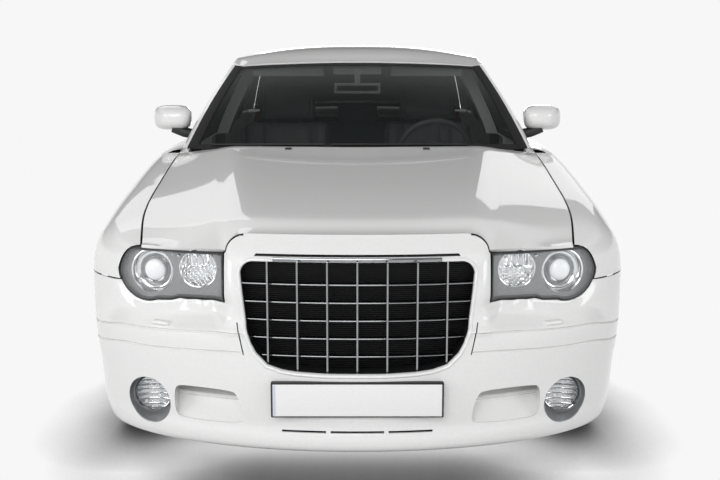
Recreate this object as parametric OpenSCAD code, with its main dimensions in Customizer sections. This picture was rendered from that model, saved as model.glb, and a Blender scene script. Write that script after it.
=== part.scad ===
// Four-door saloon limousine: body panels cut from shared body surfaces, with hinged
// doors, bonnet and boot lid, steered front wheels and a furnished cabin.
// Millimetres. +X is the car's left side, -Y its front, +Z up. The origin is on the
// ground under the middle of the car. A station is a distance behind the nose.

/* [Overall] */
// Nose to front axle
front_overhang = 940; // [900:5:980]
// Front axle to rear axle
wheelbase = 3048; // [2980:4:3200]
// Rear axle to tail
rear_overhang = 1012; // [980:4:1060]
// Width over the doors
body_width = 1880; // [1840:4:1920]
// Top of the roof above the ground
roof_height = 1480; // [1460:2:1510]
// Gap between panels that open
shut_gap = 7; // [6:0.5:9]

/* [Body lines] */
// Underside of the sills
sill_bottom = 180; // [165:1:195]
// Lower edge of the doors
door_bottom = 272; // [264:1:284]
// Widest line of the body side
waist_height = 620; // [600:2:650]
// Outer half width at the roof rail
rail_half = 622; // [610:1:635]
// Drop from the top of the roof to the roof rail
rail_drop = 78; // [70:1:86]
// Proud lip around each wheel arch
arch_flare = 16; // [8:1:20]
// Thickness of fenders and bumpers
skin = 20; // [14:1:26]
// Thickness of bonnet, boot lid and roof
lid_skin = 24; // [16:1:30]
// Thickness of the doors
door_thick = 95; // [88:1:105]
// Depth of the window frames
frame_depth = 44; // [38:1:50]
// Thickness of the glass
glass = 5; // [4:0.5:8]

/* [Wheels] */
// Distance between the wheel centres across the car
track = 1600; // [1580:2:1620]
// Outer radius of the tyres
tyre_r = 364; // [355:1:368]
// Section width of the tyres
tyre_w = 245; // [225:5:255]
// Radius of the rims
rim_r = 254; // [240:1:256]
// Space between tyre and wheel arch
arch_gap = 38; // [32:1:46]
// Steering axis inboard of the wheel centre
kingpin_inset = 60; // [50:1:70]
// Spindle radius
spindle_r = 35; // [30:1:40]
// Number of wheel spokes
spokes = 7; // [5:1:9]

/* [Front] */
// Half width of the grille opening at its top
grille_half = 362; // [350:1:368]
// Lower edge of the grille opening
grille_low = 455; // [448:1:465]
// Upper edge of the grille opening
grille_high = 792; // [784:1:798]
// Vertical bars in the grille
grille_uprights = 7; // [5:2:9]
// Horizontal bars in the grille
grille_bars = 5; // [4:1:6]
// Width of the number plate
plate_w = 520; // [460:5:530]
// Height of the number plate
plate_h = 110; // [100:1:116]

/* [Hidden] */
$fn = 48;
half_w = body_width / 2;
// Half width that clears the whole body, for cuts
far = half_w + 160;
rail_height = roof_height - rail_drop;
door_inner = half_w - door_thick;
arch_r = tyre_r + arch_gap;
// Half widths of the cabin floor, of the space between the rear wheels, and of the front legs
floor_half = half_w - 240;
rear_half = track / 2 - tyre_w / 2 - 37.5;
leg_out = grille_half + 70;
leg_in = leg_out - 32;
// Heights of the cabin floor's top, of the rear floor and of the front legs
floor_top = 222;
rear_floor = tyre_r + 48;
rear_floor_low = rear_floor - 20;
tunnel_half = 140;
tunnel_top = 380;
leg_low = 530;
leg_top = 610;
front_axle = front_overhang;
rear_axle = front_overhang + wheelbase;
tail = rear_axle + rear_overhang;
// Where the sides turn into the front corner and into the rear corner
front_turn = front_axle - 440;
rear_turn = tail - 440;
// Shut lines of the doors, as stations
door_front = front_axle + 620;
door_split = front_axle + 1700;
door_rear = rear_axle - 288;
// Cowl, windscreen, roof and rear window, as stations on the centre line
cowl = front_axle + 490;
header = front_axle + 1285;
roof_rear = rear_axle - 350;
deck = rear_axle + 172;
// Distance the number plate stands ahead of the nose
plate_proud = 14;
middle = (tail - plate_proud) / 2;
bumper_seam = 692;
rear_seam = 690;
shoulder_p = 3;
shoulder_q = 4;

// Columns: station, inset of the waist line from the half width
PLAN = [[front_turn, 32], [front_axle, 15], [door_front, 6], [door_split, 0],
        [door_rear, 5], [rear_axle, 15], [rear_turn, 46]];
// Columns: height, inset of the side below the waist
TUCK = [[sill_bottom, 62], [door_bottom, 30], [360, 12], [480, 3], [waist_height, 0]];
// Columns: station, half width, height of the upper body edge beside bonnet, glass and boot lid
EDGE = [[255, half_w - 240, 800], [front_turn + 50, half_w - 196, 872],
    [front_axle + 10, half_w - 176, 930],
        [door_front + 80, half_w - 156, 1004], [door_split, half_w - 138, 1018],
            [door_rear, half_w - 156, 1046],
        [deck + 20, half_w - 188, 1076], [rear_turn + 120, half_w - 218, 1084],
            [tail - 130, half_w - 276, 1070]];
// Columns: height, station of the front face on the centre line
NOSE = [[196, 46], [206, 16], [222, 3], [250, 0], [266, 4], [276, 8], [330, 2], [420, 0], [515, 3], [574, 12],
        [592, 40], [616, 72], [640, 84], [700, 92], [800, 108], [866, 132]];
// Columns: height, inset of the front bumper below the waist
NOSE_TUCK = [[sill_bottom, 46], [222, 30], [door_bottom, 16], [360, 7], [480, 2], [waist_height, 0]];
// Columns: height, distance the grille surround stands ahead of the lamps' face
SURROUND = [[560, 0], [640, 52], [780, 48], [866, 8]];
// Columns: height, distance of the rear face ahead of the tail on the centre line
TAIL = [[235, 70], [262, 24], [330, 3], [440, 0], [560, 2], [640, 14], [668, 46], [rear_seam, 58],
    [1090, 96]];
// Columns: station, height of the bonnet's centre line
BONNET = [[100, 862], [300, 896], [700, 950], [cowl - 20, 1034]];
// Columns: station, height of the roof's centre line
ROOF = [[header + 5, roof_height - 86], [header + 260, roof_height - 22],
        [header + 650, roof_height], [roof_rear - 300, roof_height - 14],
            [roof_rear + 22, roof_height - 62]];

function y_of(s) = s - middle;
function lerp(a, b, u) = a + (b - a) * u;
function unit(u) = min(1, max(0, u));
function ease(u) = let (c = unit(u)) c * c * (3 - 2 * c);
function row_at(t, k, i = 0) = i >= len(t) - 2 || k < t[i + 1][0] ? i : row_at(t, k, i + 1);
function slope_at(t, i, c) =
    let (a = max(0, i - 1), b = min(len(t) - 1, i + 1)) (t[b][c] - t[a][c]) / (t[b][0] - t[a][0]);
// A smooth curve through a column of a table
function curve(t, k, c = 1) =
    let (i = row_at(t, k), w = t[i + 1][0] - t[i][0], u = unit((k - t[i][0]) / w))
    (1 + 2 * u) * (1 - u) * (1 - u) * t[i][c] + u * (1 - u) * (1 - u) * w * slope_at(t, i, c)
    + u * u * (3 - 2 * u) * t[i + 1][c] - u * u * (1 - u) * w * slope_at(t, i + 1, c);
function steps(a, b, n) = [for (i = [0:n]) lerp(a, b, i / n)];

function waist_x(s) = half_w - curve(PLAN, s);
function edge_x(s) = curve(EDGE, s, 1);
function edge_z(s) = curve(EDGE, s, 2);
function flare(s, z) =
    let (r = min(norm([s - front_axle, z - tyre_r]), norm([s - rear_axle, z - tyre_r])))
    arch_flare * exp(-pow((r - arch_r) / 48, 2));
function shoulder_z(w) = pow(sin(90 * w), 2 / shoulder_p);
function shoulder_x(w) = pow(cos(90 * w), 2 / shoulder_q);
// Body side at a station. w runs from -1 at the sill over 0 at the waist and 1 at the upper edge to 2
// at the rail.
function side_z(s, w) =
    w < 0 ? lerp(waist_height, door_bottom, -w)
    : w < 1 ? lerp(waist_height, edge_z(s), shoulder_z(w))
    : lerp(edge_z(s), rail_height, w - 1);
function side_x(s, w) =
    let (z = side_z(s, w))
    w < 0 ? waist_x(s) - curve(TUCK, z) + flare(s, z)
    : w < 1 ? lerp(edge_x(s), waist_x(s), shoulder_x(w)) + flare(s, z)
    : lerp(edge_x(s), rail_half, pow(w - 1, 1.12));
function side_point(s, w) = [side_x(s, w), y_of(s), side_z(s, w)];
// Height on the glasshouse side turned back into half width
function glass_x(s, z) = lerp(edge_x(s), rail_half, pow(unit((z - edge_z(s))
    / (rail_height - edge_z(s))), 1.12));

// Front corner of the fender. t runs from the lamp to 1 at the side.
lamp_edge = 0.57;
function corner_point(t, w) =
    let (waist = [waist_x(front_turn) * sin(90 * t), lerp(front_turn, 88, cos(90 * t))],
         s = lerp(EDGE[0][0], front_turn, (t - lamp_edge) / (1 - lamp_edge)), k = shoulder_x(w))
    [lerp(edge_x(s), waist[0], k), y_of(lerp(s, waist[1], k)), lerp(waist_height, edge_z(s),
        shoulder_z(w))];
// Rear corner of the quarter. t runs from 0 at the side towards the boot lid.
function rear_corner_point(t, w) =
    let (a = 90 * (1 - t), waist = [waist_x(rear_turn) * pow(sin(a), 0.8),
             lerp(rear_turn, tail - 52, pow(cos(a), 0.8))],
         s = lerp(rear_turn, tail - 130, unit(t / 0.62)), k = shoulder_x(w))
    [lerp(edge_x(s), waist[0], k), y_of(lerp(s, waist[1], k)), lerp(waist_height, edge_z(s),
        shoulder_z(w))];

// Front face at a height. t is 0 on the centre line and 1 where the side begins.
function nose_point(t, z) =
    let (a = 90 * min(1, abs(t)), half = waist_x(front_turn) - curve(NOSE_TUCK, min(z, waist_height)),
         x = half * sin(a), lift = curve(SURROUND, z) * (1 - ease((x - grille_half - 30) / 56)),
         s0 = curve(NOSE, z) - lift, past = max(0, abs(t) - 1) * 1000,
         s = lerp(front_turn, s0, cos(a)) + past,
         side = abs(t) <= 1 ? x : waist_x(s) - curve(NOSE_TUCK, min(z, waist_height)) + flare(s, z))
    [sign(t) * side, y_of(s), z];
// Rear face at a height, with t as on the front face
function tail_point(t, z) =
    let (a = 90 * min(1, abs(t)), half = waist_x(rear_turn) - curve(TUCK, min(z, waist_height)),
         past = max(0, abs(t) - 1) * 1000,
         s = lerp(rear_turn, tail - curve(TAIL, z), pow(cos(a), 0.8)) - past,
         side = abs(t) <= 1 ? half * pow(sin(a), 0.8) : waist_x(s) - curve(TUCK, min(z,
             waist_height)) + flare(s, z))
    [sign(t) * side, y_of(s), z];

function bonnet_z(x, s) =
    let (e = edge_x(s), k = lerp(grille_half + 68, half_w - 340, (s - 150) / (cowl - 150)),
        c = curve(BONNET, s) - 12, a = abs(x))
    a < k ? c + 12 * (1 - pow(a / k, 2)) : lerp(c, edge_z(s), pow((a - k) / (e - k), 1.1));
function bonnet_nose_s(x) =
    let (a = abs(x), c = 160 + (front_turn - 160) * (1 - sqrt(1 - pow(a / (half_w - 35), 2))),
         o = 108 + (front_turn - 108) * (1 - sqrt(1 - pow(a / (half_w - 35), 2))))
    lerp(c, o, ease((a - grille_half - 58) / 40));
function bonnet_nose_z(x) = lerp(866, 814, ease((abs(x) - grille_half - 58) / 40));
bonnet_rear = cowl - 28;
// u runs across from -1 to 1, v from the nose to the windscreen
function bonnet_point(u, v) =
    let (x_front = u * (edge_x(255) - shut_gap),
         rear = bonnet_rear + 138 * u * u,
         s = lerp(bonnet_nose_s(x_front), rear, v),
         x = u * (edge_x(s) - shut_gap),
         roll = pow(1 - unit((s - bonnet_nose_s(x_front)) / 170), 2),
         z = bonnet_z(x, s))
    [x, y_of(s), lerp(z, bonnet_nose_z(x_front), roll)];
function roof_point(u, s) =
    let (a = u * u, mid = ease((s - header) / 420) * (1 - ease((s - roof_rear + 320) / 340)),
         z = curve(ROOF, s) - lerp(22, 56, mid) * pow(abs(u), 2.5))
    [u * lerp(rail_half - 22, rail_half + 4, mid),
     y_of(s + 62 * a * (1 - ease((s - header) / 420)) - 48 * a * ease((s - roof_rear + 320) / 340)), z];

// A panel of even thickness under a grid of points, whose rows and columns turn right-handed to its outside
function grid_normal(g, i, j) =
    let (a = g[min(len(g) - 1, i + 1)][j] - g[max(0, i - 1)][j],
         b = g[i][min(len(g[0]) - 1, j + 1)] - g[i][max(0, j - 1)], n = cross(a, b))
    n / norm(n);
function offset_grid(g, d) = [for (i = [0:len(g) - 1]) [for (j = [0:len(g[0]) - 1])
    g[i][j] - d * grid_normal(g, i, j)]];
module panel(top, under) {
    n = len(top);
    m = len(top[0]);
    at = function (i, j) i * m + j;
    below = n * m;
    polyhedron(
        points = [for (r = top) each r, for (r = under) each r],
        faces = [
            for (i = [0:n - 2]) for (j = [0:m - 2]) each [
                [at(i, j), at(i, j + 1), at(i + 1, j + 1)], [at(i, j), at(i + 1, j + 1), at(i + 1, j)],
                [below + at(i, j), below + at(i + 1, j + 1), below + at(i, j + 1)],
                [below + at(i, j), below + at(i + 1, j), below + at(i + 1, j + 1)]],
            for (i = [0:n - 2]) each [
                [at(i, 0), at(i + 1, 0), below + at(i + 1, 0)], [at(i, 0), below + at(i + 1, 0),
                    below + at(i, 0)],
                [at(i, m - 1), below + at(i + 1, m - 1), at(i + 1, m - 1)],
                [at(i, m - 1), below + at(i, m - 1), below + at(i + 1, m - 1)]],
            for (j = [0:m - 2]) each [
                [at(0, j), below + at(0, j + 1), at(0, j + 1)], [at(0, j), below + at(0, j),
                    below + at(0, j + 1)],
                [at(n - 1, j), at(n - 1, j + 1), below + at(n - 1, j + 1)],
                [at(n - 1, j), below + at(n - 1, j + 1), below + at(n - 1, j)]]],
        convexity = 6);
}
module shell(grid, thick) panel(grid, offset_grid(grid, thick));
// A prism across the car from an outline of station and height
module side_prism(outline, from = 0, to = half_w + 260)
    translate([from, y_of(0), 0]) rotate([90, 0, 90]) linear_extrude(to - from) polygon(outline);
// A prism along the car from an outline of half width and height
module front_prism(outline, from, to)
    translate([0, y_of(to), 0]) rotate([90, 0, 0]) linear_extrude(to - from) polygon(outline);
module across(r, x0, x1, s, z) translate([x0, y_of(s), z]) rotate([0, 90, 0]) cylinder(r = r, h = x1 - x0);
module block(x0, x1, s0, s1, z0, z1) translate([x0, y_of(s0), z0]) cube([x1 - x0, s1 - s0, z1 - z0]);
module arch_cut(s) across(arch_r, -far, far, s, tyre_r, $fn = 144);
module both_sides() {
    children();
    mirror([1, 0, 0]) children();
}
function arc(cx, cy, r, a0, a1, n) = [for (a = steps(a0, a1, n)) [cx + r * cos(a), cy + r * sin(a)]];

// Windscreen and rear window. u runs across from -1 to 1, v from the lower edge to the upper edge.
function windscreen_point(u, v) =
    let (a = u * u, low = [(half_w - 192) * u, cowl + 35 + 165 * a, 1022 - 14 * a],
         top = [(rail_half - 20) * u, header + 62 * a, roof_height - 94 - 20 * a], p = lerp(low, top, v))
    [p[0], y_of(p[1]), p[2] + 20 * sin(180 * v)];
function rear_window_point(u, v) =
    let (a = u * u, low = [(half_w - 250) * u, deck - 12 - 105 * a, 1098 - 18 * a],
         top = [(rail_half - 34) * u, roof_rear + 30 - 48 * a, roof_height - 68 - 24 * a],
             p = lerp(low, top, v))
    [p[0], y_of(p[1]), p[2] + 14 * sin(180 * v)];

// Door outlines in side view, as station and height
frame_top = rail_height - 24;
front_low = [door_front + 130, 1010];
front_high = [header + 150, frame_top];
rear_high = [roof_rear - 230, frame_top];
rear_low = [door_rear, edge_z(door_rear)];
half_gap = shut_gap / 2;
// Clearance between pieces that rest on each other
seat = 0.3;
function rear_edge(z) =
    min(door_rear, rear_axle - sqrt(max(0, pow(arch_r + 40, 2) - pow(z - tyre_r, 2))));
FRONT_DOOR = [[door_front, door_bottom], [door_split - half_gap, door_bottom],
              [door_split - half_gap, frame_top], front_high, front_low, [door_front, 984]];
REAR_DOOR = concat([[door_split + half_gap, frame_top], [door_split + half_gap, door_bottom]],
                   [for (z = steps(door_bottom, 720, 10)) [rear_edge(z), z]], [rear_low, rear_high]);
// Window outlines in side view, with the mirror's sail ahead of the front one
mirror_s = door_front + 450;
sash = 46;
rake = (front_high[0] - front_low[0]) / (front_high[1] - front_low[1]);
fall = (rear_low[0] - rear_high[0]) / (rear_high[1] - rear_low[1]);
window_low = 1048;
window_high = frame_top - sash;
sail_s = mirror_s - 10;
FRONT_WINDOW = [[sail_s, window_low], [door_split - 62, window_low], [door_split - 62, window_high],
                [front_low[0] + rake * (window_high - front_low[1]) + 100, window_high],
                [sail_s, front_low[1] + (sail_s - 100 - front_low[0]) / rake]];
REAR_WINDOW = [[door_split + 62, window_low + 10],
               [rear_high[0] + fall * (frame_top - window_low - 10) - 92, window_low + 10],
               [rear_high[0] + fall * sash - 92, window_high], [door_split + 62, window_high]];
function door_depth(x) = max(x - door_inner, frame_depth);
SIDE_ROWS = [-1, -0.72, -0.42, -0.18, 0, 0.2, 0.36, 0.5, 0.62, 0.74, 0.86, 1, 1.34, 1.67, 2];
INNER_ROWS = [-1, -0.6, -0.2, 0, 0.3, 0.5, 0.68, 0.86, 1, 1.5, 2];
// Body side between two stations, moved inward by a number of door depths plus a distance
function side_grid(s0, s1, n, rows, depth = 0, more = 0) =
    [for (s = steps(s0, s1, n)) [for (w = rows)
        let (p = side_point(s, w)) [p[0] - depth * door_depth(p[0]) - more, p[1], p[2]]]];
module door(outline, window, s0, s1) {
    difference() {
        union() {
            intersection() {
                panel(side_grid(s0 - 12, s1 + 12, 6, SIDE_ROWS),
                      side_grid(s0 - 12, s1 + 12, 6, SIDE_ROWS, 0, skin));
                side_prism(outline);
            }
            intersection() {
                panel(side_grid(s0 - 12, s1 + 12, 4, INNER_ROWS, 0, skin - 9),
                      side_grid(s0 - 12, s1 + 12, 4, INNER_ROWS, 1));
                translate([0, y_of(0), 0]) rotate([90, 0, 90]) linear_extrude(half_w + 260)
                    offset(delta = -16) polygon(outline);
            }
        }
        side_prism(window);
    }
}
// Pull handle on two feet
module handle(s, z) {
    translate([half_w + 16, y_of(s), z]) rotate([-90, 0, 0]) linear_extrude(190)
        offset(r = 6) square([4, 12], center = true);
    for (at = [s, s + 160]) block(half_w - 22, half_w + 16, at, at + 30, z - 10, z + 10);
}
module door_front_side() {
    color("white") union() {
        door(FRONT_DOOR, FRONT_WINDOW, door_front, door_split);
        handle(door_split - 260, 838);
    }
}
module door_rear_side() {
    color("white") union() {
        door(REAR_DOOR, REAR_WINDOW, door_split, door_rear);
        handle(door_rear - 210, 858);
    }
}
module pane(window, s0, s1) {
    rows = [1, 1.25, 1.5, 1.75, 2];
    color("dimgray") intersection() {
        panel(side_grid(s0, s1, 4, rows, 0, 16), side_grid(s0, s1, 4, rows, 0, 16 + glass));
        translate([0, y_of(0), 0]) rotate([90, 0, 90]) linear_extrude(half_w + 260) offset(delta = -1)
            polygon(window);
    }
}
module door_front_left() door_front_side();
module door_front_right() mirror([1, 0, 0]) door_front_side();
module door_rear_left() door_rear_side();
module door_rear_right() mirror([1, 0, 0]) door_rear_side();
module glass_front_left() pane(FRONT_WINDOW, door_front, door_split);
module glass_front_right() mirror([1, 0, 0]) glass_front_left();
module glass_rear_left() pane(REAR_WINDOW, door_split, door_rear);
module glass_rear_right() mirror([1, 0, 0]) glass_rear_left();

mirror_x = half_w - 58;
mirror_z = 1130;
module mirror_slice(d, back, w, h)
    translate([mirror_x - d, y_of(mirror_s - back), mirror_z]) rotate([90, 0, 0]) linear_extrude(8)
        offset(r = h / 4) square([w - h / 2, h / 2], center = true);
module mirror_left() {
    color("white") union() {
        hull() {
            mirror_slice(0, 0, 178, 118);
            mirror_slice(6, 50, 172, 112);
            mirror_slice(18, 88, 136, 80);
            mirror_slice(24, 104, 80, 40);
        }
        difference() {
            block(half_w - 318, mirror_x - 30, mirror_s - 72, mirror_s - 24, 1020, mirror_z - 40);
            panel(side_grid(mirror_s - 100, mirror_s, 2, [0.9, 1, 1.25, 1.5], 0, -seat),
                  side_grid(mirror_s - 100, mirror_s, 2, [0.9, 1, 1.25, 1.5], 0, 260));
        }
    }
}
module mirror_right() mirror([1, 0, 0]) mirror_left();

// Lamp outline in front view, as half width and height
lamp_x = half_w - 262;
lamp_z = 736;
lamp_r = 97;
lamp_in = grille_half + 54;
LAMP = concat([[lamp_in, 660], [lamp_in + 3, 795], [lamp_x + 42, 795]], arc(lamp_x, lamp_z, lamp_r, 22, -112, 14),
              [[lamp_x - 88, 650], [lamp_x - 112, 658]]);
seam_angle = asin((bumper_seam - lamp_z) / (lamp_r + 5));
FASCIA_CUT = concat([[lamp_in - 1, 920], [lamp_in - 5, 655], [lamp_x - 112, 653], [lamp_x - 88, 645]],
                    arc(lamp_x, lamp_z, lamp_r + 5, -112, seam_angle, 10),
                    [[far, bumper_seam], [far, 920]]);
// Columns: share of the grille's half width, share of its height
GRILLE_EDGE = [[1, 1], [0.986, 0.787], [0.942, 0.39], [0.906, 0.268], [0.859, 0.176], [0.76, 0.072],
               [0.635, 0.03], [0.505, 0.012], [0.25, 0]];
function grille_xy(p) = [grille_half * p[0], lerp(grille_low, grille_high, p[1])];
GRILLE = concat([for (p = GRILLE_EDGE) grille_xy(p)],
                [for (i = [len(GRILLE_EDGE) - 1:-1:0]) let (q = grille_xy(GRILLE_EDGE[i])) [-q[0], q[1]]]);
fog_x = half_w - 263;
fog_z = 306;
fog_r = 74;
DUCT = [[plate_w / 2 + 92, 284], [plate_w / 2 + 130, 388], [fog_x - 86, 366], [fog_x - 86, 264]];
slot_z = 270;

duct_depth = 14;
module front_bumper() {
    t_end = 1 + (front_axle - 240 - front_turn) / 1000;
    half_ts = concat(steps(0.08, 0.94, 12), steps(1, t_end, 2));
    ts = concat([for (i = [len(half_ts) - 1:-1:0]) -half_ts[i]], [0], half_ts);
    zs = [196, 206, 222, 250, 268, 278, 330, 420, 515, 574, 592, 616, 640, 680, 740, 800, 866];
    duct_wall = [for (t = steps(0.24, 0.5, 4)) [for (z = steps(255, 405, 3)) nose_point(t, z)]];
    color("white") difference() {
        union() {
            difference() {
                union() {
                    shell([for (t = ts) [for (z = zs) nose_point(t, z)]], skin);
                    both_sides() block(leg_out - 18, leg_out - 2, 78, 230 - seat, leg_low + 6,
                        leg_low + 40);
                }
                arch_cut(front_axle);
                front_prism(GRILLE, -100, 400);
                both_sides() {
                    front_prism(FASCIA_CUT, -100, front_axle);
                    front_prism(DUCT, -100, 400);
                    block(96, 232, -50, 120, slot_z - 6, slot_z + 6);
                }
                block(-82, 82, -50, 120, slot_z - 6, slot_z + 6);
            }
            both_sides() intersection() {
                panel(offset_grid(duct_wall, duct_depth), offset_grid(duct_wall, skin + 8));
                translate([0, y_of(400), 0]) rotate([90, 0, 0]) linear_extrude(500)
                    offset(delta = 10) polygon(DUCT);
            }
        }
        both_sides() translate([fog_x, y_of(500), fog_z]) rotate([90, 0, 0]) cylinder(r = fog_r, h = 600);
    }
}
UPPER_ROWS = [0, 0.2, 0.36, 0.5, 0.62, 0.74, 0.86, 1];
LOWER_ROWS = [-1, -0.72, -0.42, -0.18];
module front_fender_left() {
    rear = door_front - shut_gap;
    upper = concat([for (t = steps(lamp_edge, 0.96, 6)) [for (w = UPPER_ROWS) corner_point(t, w)]],
                   [for (s = steps(front_turn, rear, 11)) [for (w = UPPER_ROWS) side_point(s, w)]]);
    lower = [for (s = steps(front_axle, rear, 6)) [for (w = concat(LOWER_ROWS, [0.02])) side_point(s, w)]];
    color("white") difference() {
        union() {
            shell(upper, skin);
            shell(lower, skin);
            block(half_w - 100 + seat, waist_x(front_axle) - 10, front_axle - 30, front_axle + 30,
                  tyre_r + arch_r + 40, tyre_r + arch_r + 60);
        }
        arch_cut(front_axle);
        block(300, far, 0, front_axle, 500, bumper_seam + 6);
        translate([0, y_of(700), 0]) rotate([90, 0, 0]) linear_extrude(800) offset(delta = 5) polygon(LAMP);
    }
}
module front_fender_right() mirror([1, 0, 0]) front_fender_left();

module bonnet() {
    us = [-1, -0.93, -0.84, -0.74, -0.66, -0.61, -0.575, -0.46, -0.3, -0.15, 0,
          0.15, 0.3, 0.46, 0.575, 0.61, 0.66, 0.74, 0.84, 0.93, 1];
    vs = [0, 0.02, 0.045, 0.08, 0.13, 0.22, 0.35, 0.5, 0.65, 0.82, 1];
    grid = [for (u = us) [for (v = vs) bonnet_point(u, v)]];
    color("white") panel(grid, [for (i = [0:len(us) - 1]) [for (j = [0:len(vs) - 1])
        grid[i][j] - lerp(10, lid_skin, ease(vs[j] / 0.13)) * grid_normal(grid, i, j)]]);
}
ROOF_GRID = [for (u = [-1, -0.94, -0.84, -0.68, -0.46, -0.22, 0, 0.22, 0.46, 0.68, 0.84, 0.94, 1])
    [for (s = steps(header + 5, roof_rear + 22, 12)) roof_point(u, s)]];
SCREEN_GRID = [for (u = steps(-1, 1, 14)) [for (v = steps(0, 1, 5)) windscreen_point(u, v)]];
// Top of the centre posts, under the roof
post_end = 1.96;
post_top = side_z(door_split, post_end);
module roof_panel() {
    color("white") union() {
        both_sides() block(rail_half - 98, rail_half - 52, door_split - 60, door_split + 60,
            post_top + seat + 0.2, rail_height + 18);
        shell(ROOF_GRID, lid_skin - 4);
    }
}
module windscreen() {
    color("dimgray") shell(SCREEN_GRID, glass);
}
module rear_window() {
    color("dimgray") shell([for (v = steps(0, 1, 5)) [for (u = steps(-1, 1, 12)) rear_window_point(-u,
        v)]], glass);
}

// Boot lid. Columns: station, height along its centre line
LID = [[deck + 16, 1102], [deck + 180, 1112], [deck + 420, 1112], [tail - 190, 1108], [tail - 118, 1102],
       [tail - 100, 1092], [tail - 96, 1060], [tail - 84, 900], [tail - 66, 720],
           [tail - 60, rear_seam + shut_gap]];
function lid_point(u, i) =
    let (s0 = LID[i][0], z0 = LID[i][1], top = i < 4 ? 1 : i < 6 ? 1 - (i - 3) / 3 : 0,
         half = edge_x(min(s0, tail - 130)) - shut_gap, s = s0 - u * u * (i < 4 ? 40 * (s0 - deck)
             / 760 : 46),
         drop = top > 0 ? (z0 - edge_z(min(s, tail - 130))) * pow(abs(u),
             2.4) : (z0 > 1000 ? (z0 - 1062) * 0.6 + 18 : 0) * pow(abs(u), 2.4))
    [u * half, y_of(s), z0 - drop];
module boot_lid() {
    color("white") shell([for (u = [-1, -0.92, -0.78, -0.58, -0.3, 0, 0.3, 0.58, 0.78, 0.92, 1])
        [for (i = [0:len(LID) - 1]) lid_point(u, i)]], lid_skin);
}

module quarter_left() {
    rows = concat(LOWER_ROWS, UPPER_ROWS);
    grid = concat([for (s = steps(rear_axle - 420, rear_turn, 11)) [for (w = rows) side_point(s, w)]],
                  [for (t = steps(0.08, 0.42, 4)) [for (w = rows)
                      w < 0 ? let (p = rear_corner_point(t, 0)) [p[0], p[1], side_z(rear_turn, w)]
                      : rear_corner_point(t, w)]]);
    post = [for (v = steps(0, 1, 5))
        let (door = lerp(rear_high, rear_low, v) + [shut_gap + 3, 0],
             back = lerp([roof_rear + 2, rail_height - 6], [deck - 90, edge_z(deck - 90)], v),
             inner = rear_window_point(1, 1 - v))
        concat([for (q = [0, 0.35, 0.7, 1]) let (p = lerp(door, back, q),
            s = p[0], z = v == 1 ? edge_z(s) - 9 : p[1])
                    [v == 1 ? edge_x(s) + 8 : glass_x(s, z), y_of(s), z]],
               [lerp([glass_x(back[0], back[1]), y_of(back[0]), back[1]], inner, 0.5) + [6, 0, 4],
                inner + [2.8 + (1 - v), 1, 0.5]])];
    cut = concat([for (z = steps(200, 720, 12)) [rear_edge(z) + shut_gap, z]],
                 [[door_rear + shut_gap, rear_low[1] - 40], [door_rear + shut_gap, 1300], [0, 1300],
                     [0, 200]]);
    color("white") difference() {
        union() {
            difference() {
                shell(grid, skin);
                side_prism(cut);
            }
            shell([for (i = [len(post) - 1:-1:0]) post[i]], 34);
            block(half_w - 90 + seat, waist_x(rear_axle) - 10, rear_axle - 30, rear_axle + 30,
                  tyre_r + arch_r + 30, tyre_r + arch_r + 50);
        }
        arch_cut(rear_axle);
        block(400, far, rear_axle, tail + 100, 0, rear_seam + 6);
        block(400, far, tail - 232, tail + 100, 0, 1300);
    }
}
module quarter_right() mirror([1, 0, 0]) quarter_left();
module rear_bumper() {
    t_end = 1 + (rear_turn - rear_axle - 230) / 1000;
    half_ts = concat(steps(0.1, 0.93, 9), steps(1, t_end, 2));
    ts = concat([for (i = [len(half_ts) - 1:-1:0]) half_ts[i]], [0], [for (t = half_ts) -t]);
    zs = [235, 248, 270, 330, 440, 560, 625, 650, 668, rear_seam];
    color("white") difference() {
        union() {
            shell([for (t = ts) [for (z = zs) tail_point(t, z)]], skin);
            both_sides() block(300, 340, tail - 200 + seat, tail - 24, 396, 410);
        }
        arch_cut(rear_axle);
        both_sides() block(455, 585, tail - 260, tail + 50, 200, 268);
    }
}
module tail_lamps() {
    rows = [0.03, 0.2, 0.4, 0.6, 0.76, 0.9, 1];
    color("firebrick") both_sides() difference() {
        shell([for (t = steps(0.2, 0.6, 7)) [for (w = rows) rear_corner_point(t, w)]], skin);
        block(0, far, 0, tail - 232 + seat, 0, 1300);
        block(0, edge_x(tail - 130) + 2, 0, tail, 0, 1300);
        block(0, far, 0, tail, 0, rear_seam + 8);
    }
}

module pillars() {
    screen = [for (v = steps(0, 1, 5))
        let (g = windscreen_point(1, v) + [seat + 0.5 * v, 0, 0.1],
            a = lerp(front_low, front_high, v) - [22, 2],
             d = [glass_x(a[0], a[1]), y_of(a[0]), a[1]])
        [d, lerp(g, d, 0.5) + [5, -4, 7], g]];
    inward_low = [[-36, 0, 0], [-30, 8, -8], [-1.5, 4, -8]];
    inward_high = [[-14, 0, 0], [-12, 6, -8], [-1, 4, -8]];
    inside = [for (i = [0:5]) [for (j = [0:2]) screen[i][j] + lerp(inward_low[j], inward_high[j], i / 5)]];
    post_rows = [-1, -0.5, 0, 0.36, 0.62];
    full_rows = [-1, -0.5, 0, 0.36, 0.62, 0.86, 1, 1.5, post_end];
    color("white") both_sides() {
        union() {
            panel(screen, inside);
            panel(side_grid(door_front - 50, door_front + 120, 2, post_rows, 1, 10),
                  side_grid(door_front - 50, door_front + 120, 2, post_rows, 1, 80));
            block(floor_half + 50, floor_half + 75, door_front + 96, door_front + 108, 920, 985);
            block(floor_half + 46, floor_half + 60, door_front + 96, door_front + 108, 980, 1012);
            hinge_leaves(door_front + 78);
        }
        union() {
            panel(side_grid(door_split - 70, door_split + 70, 2, full_rows, 1, 10),
                  side_grid(door_split - 70, door_split + 70, 2, full_rows, 1, 70));
            hinge_leaves(door_split + 28);
        }
    }
}
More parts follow.
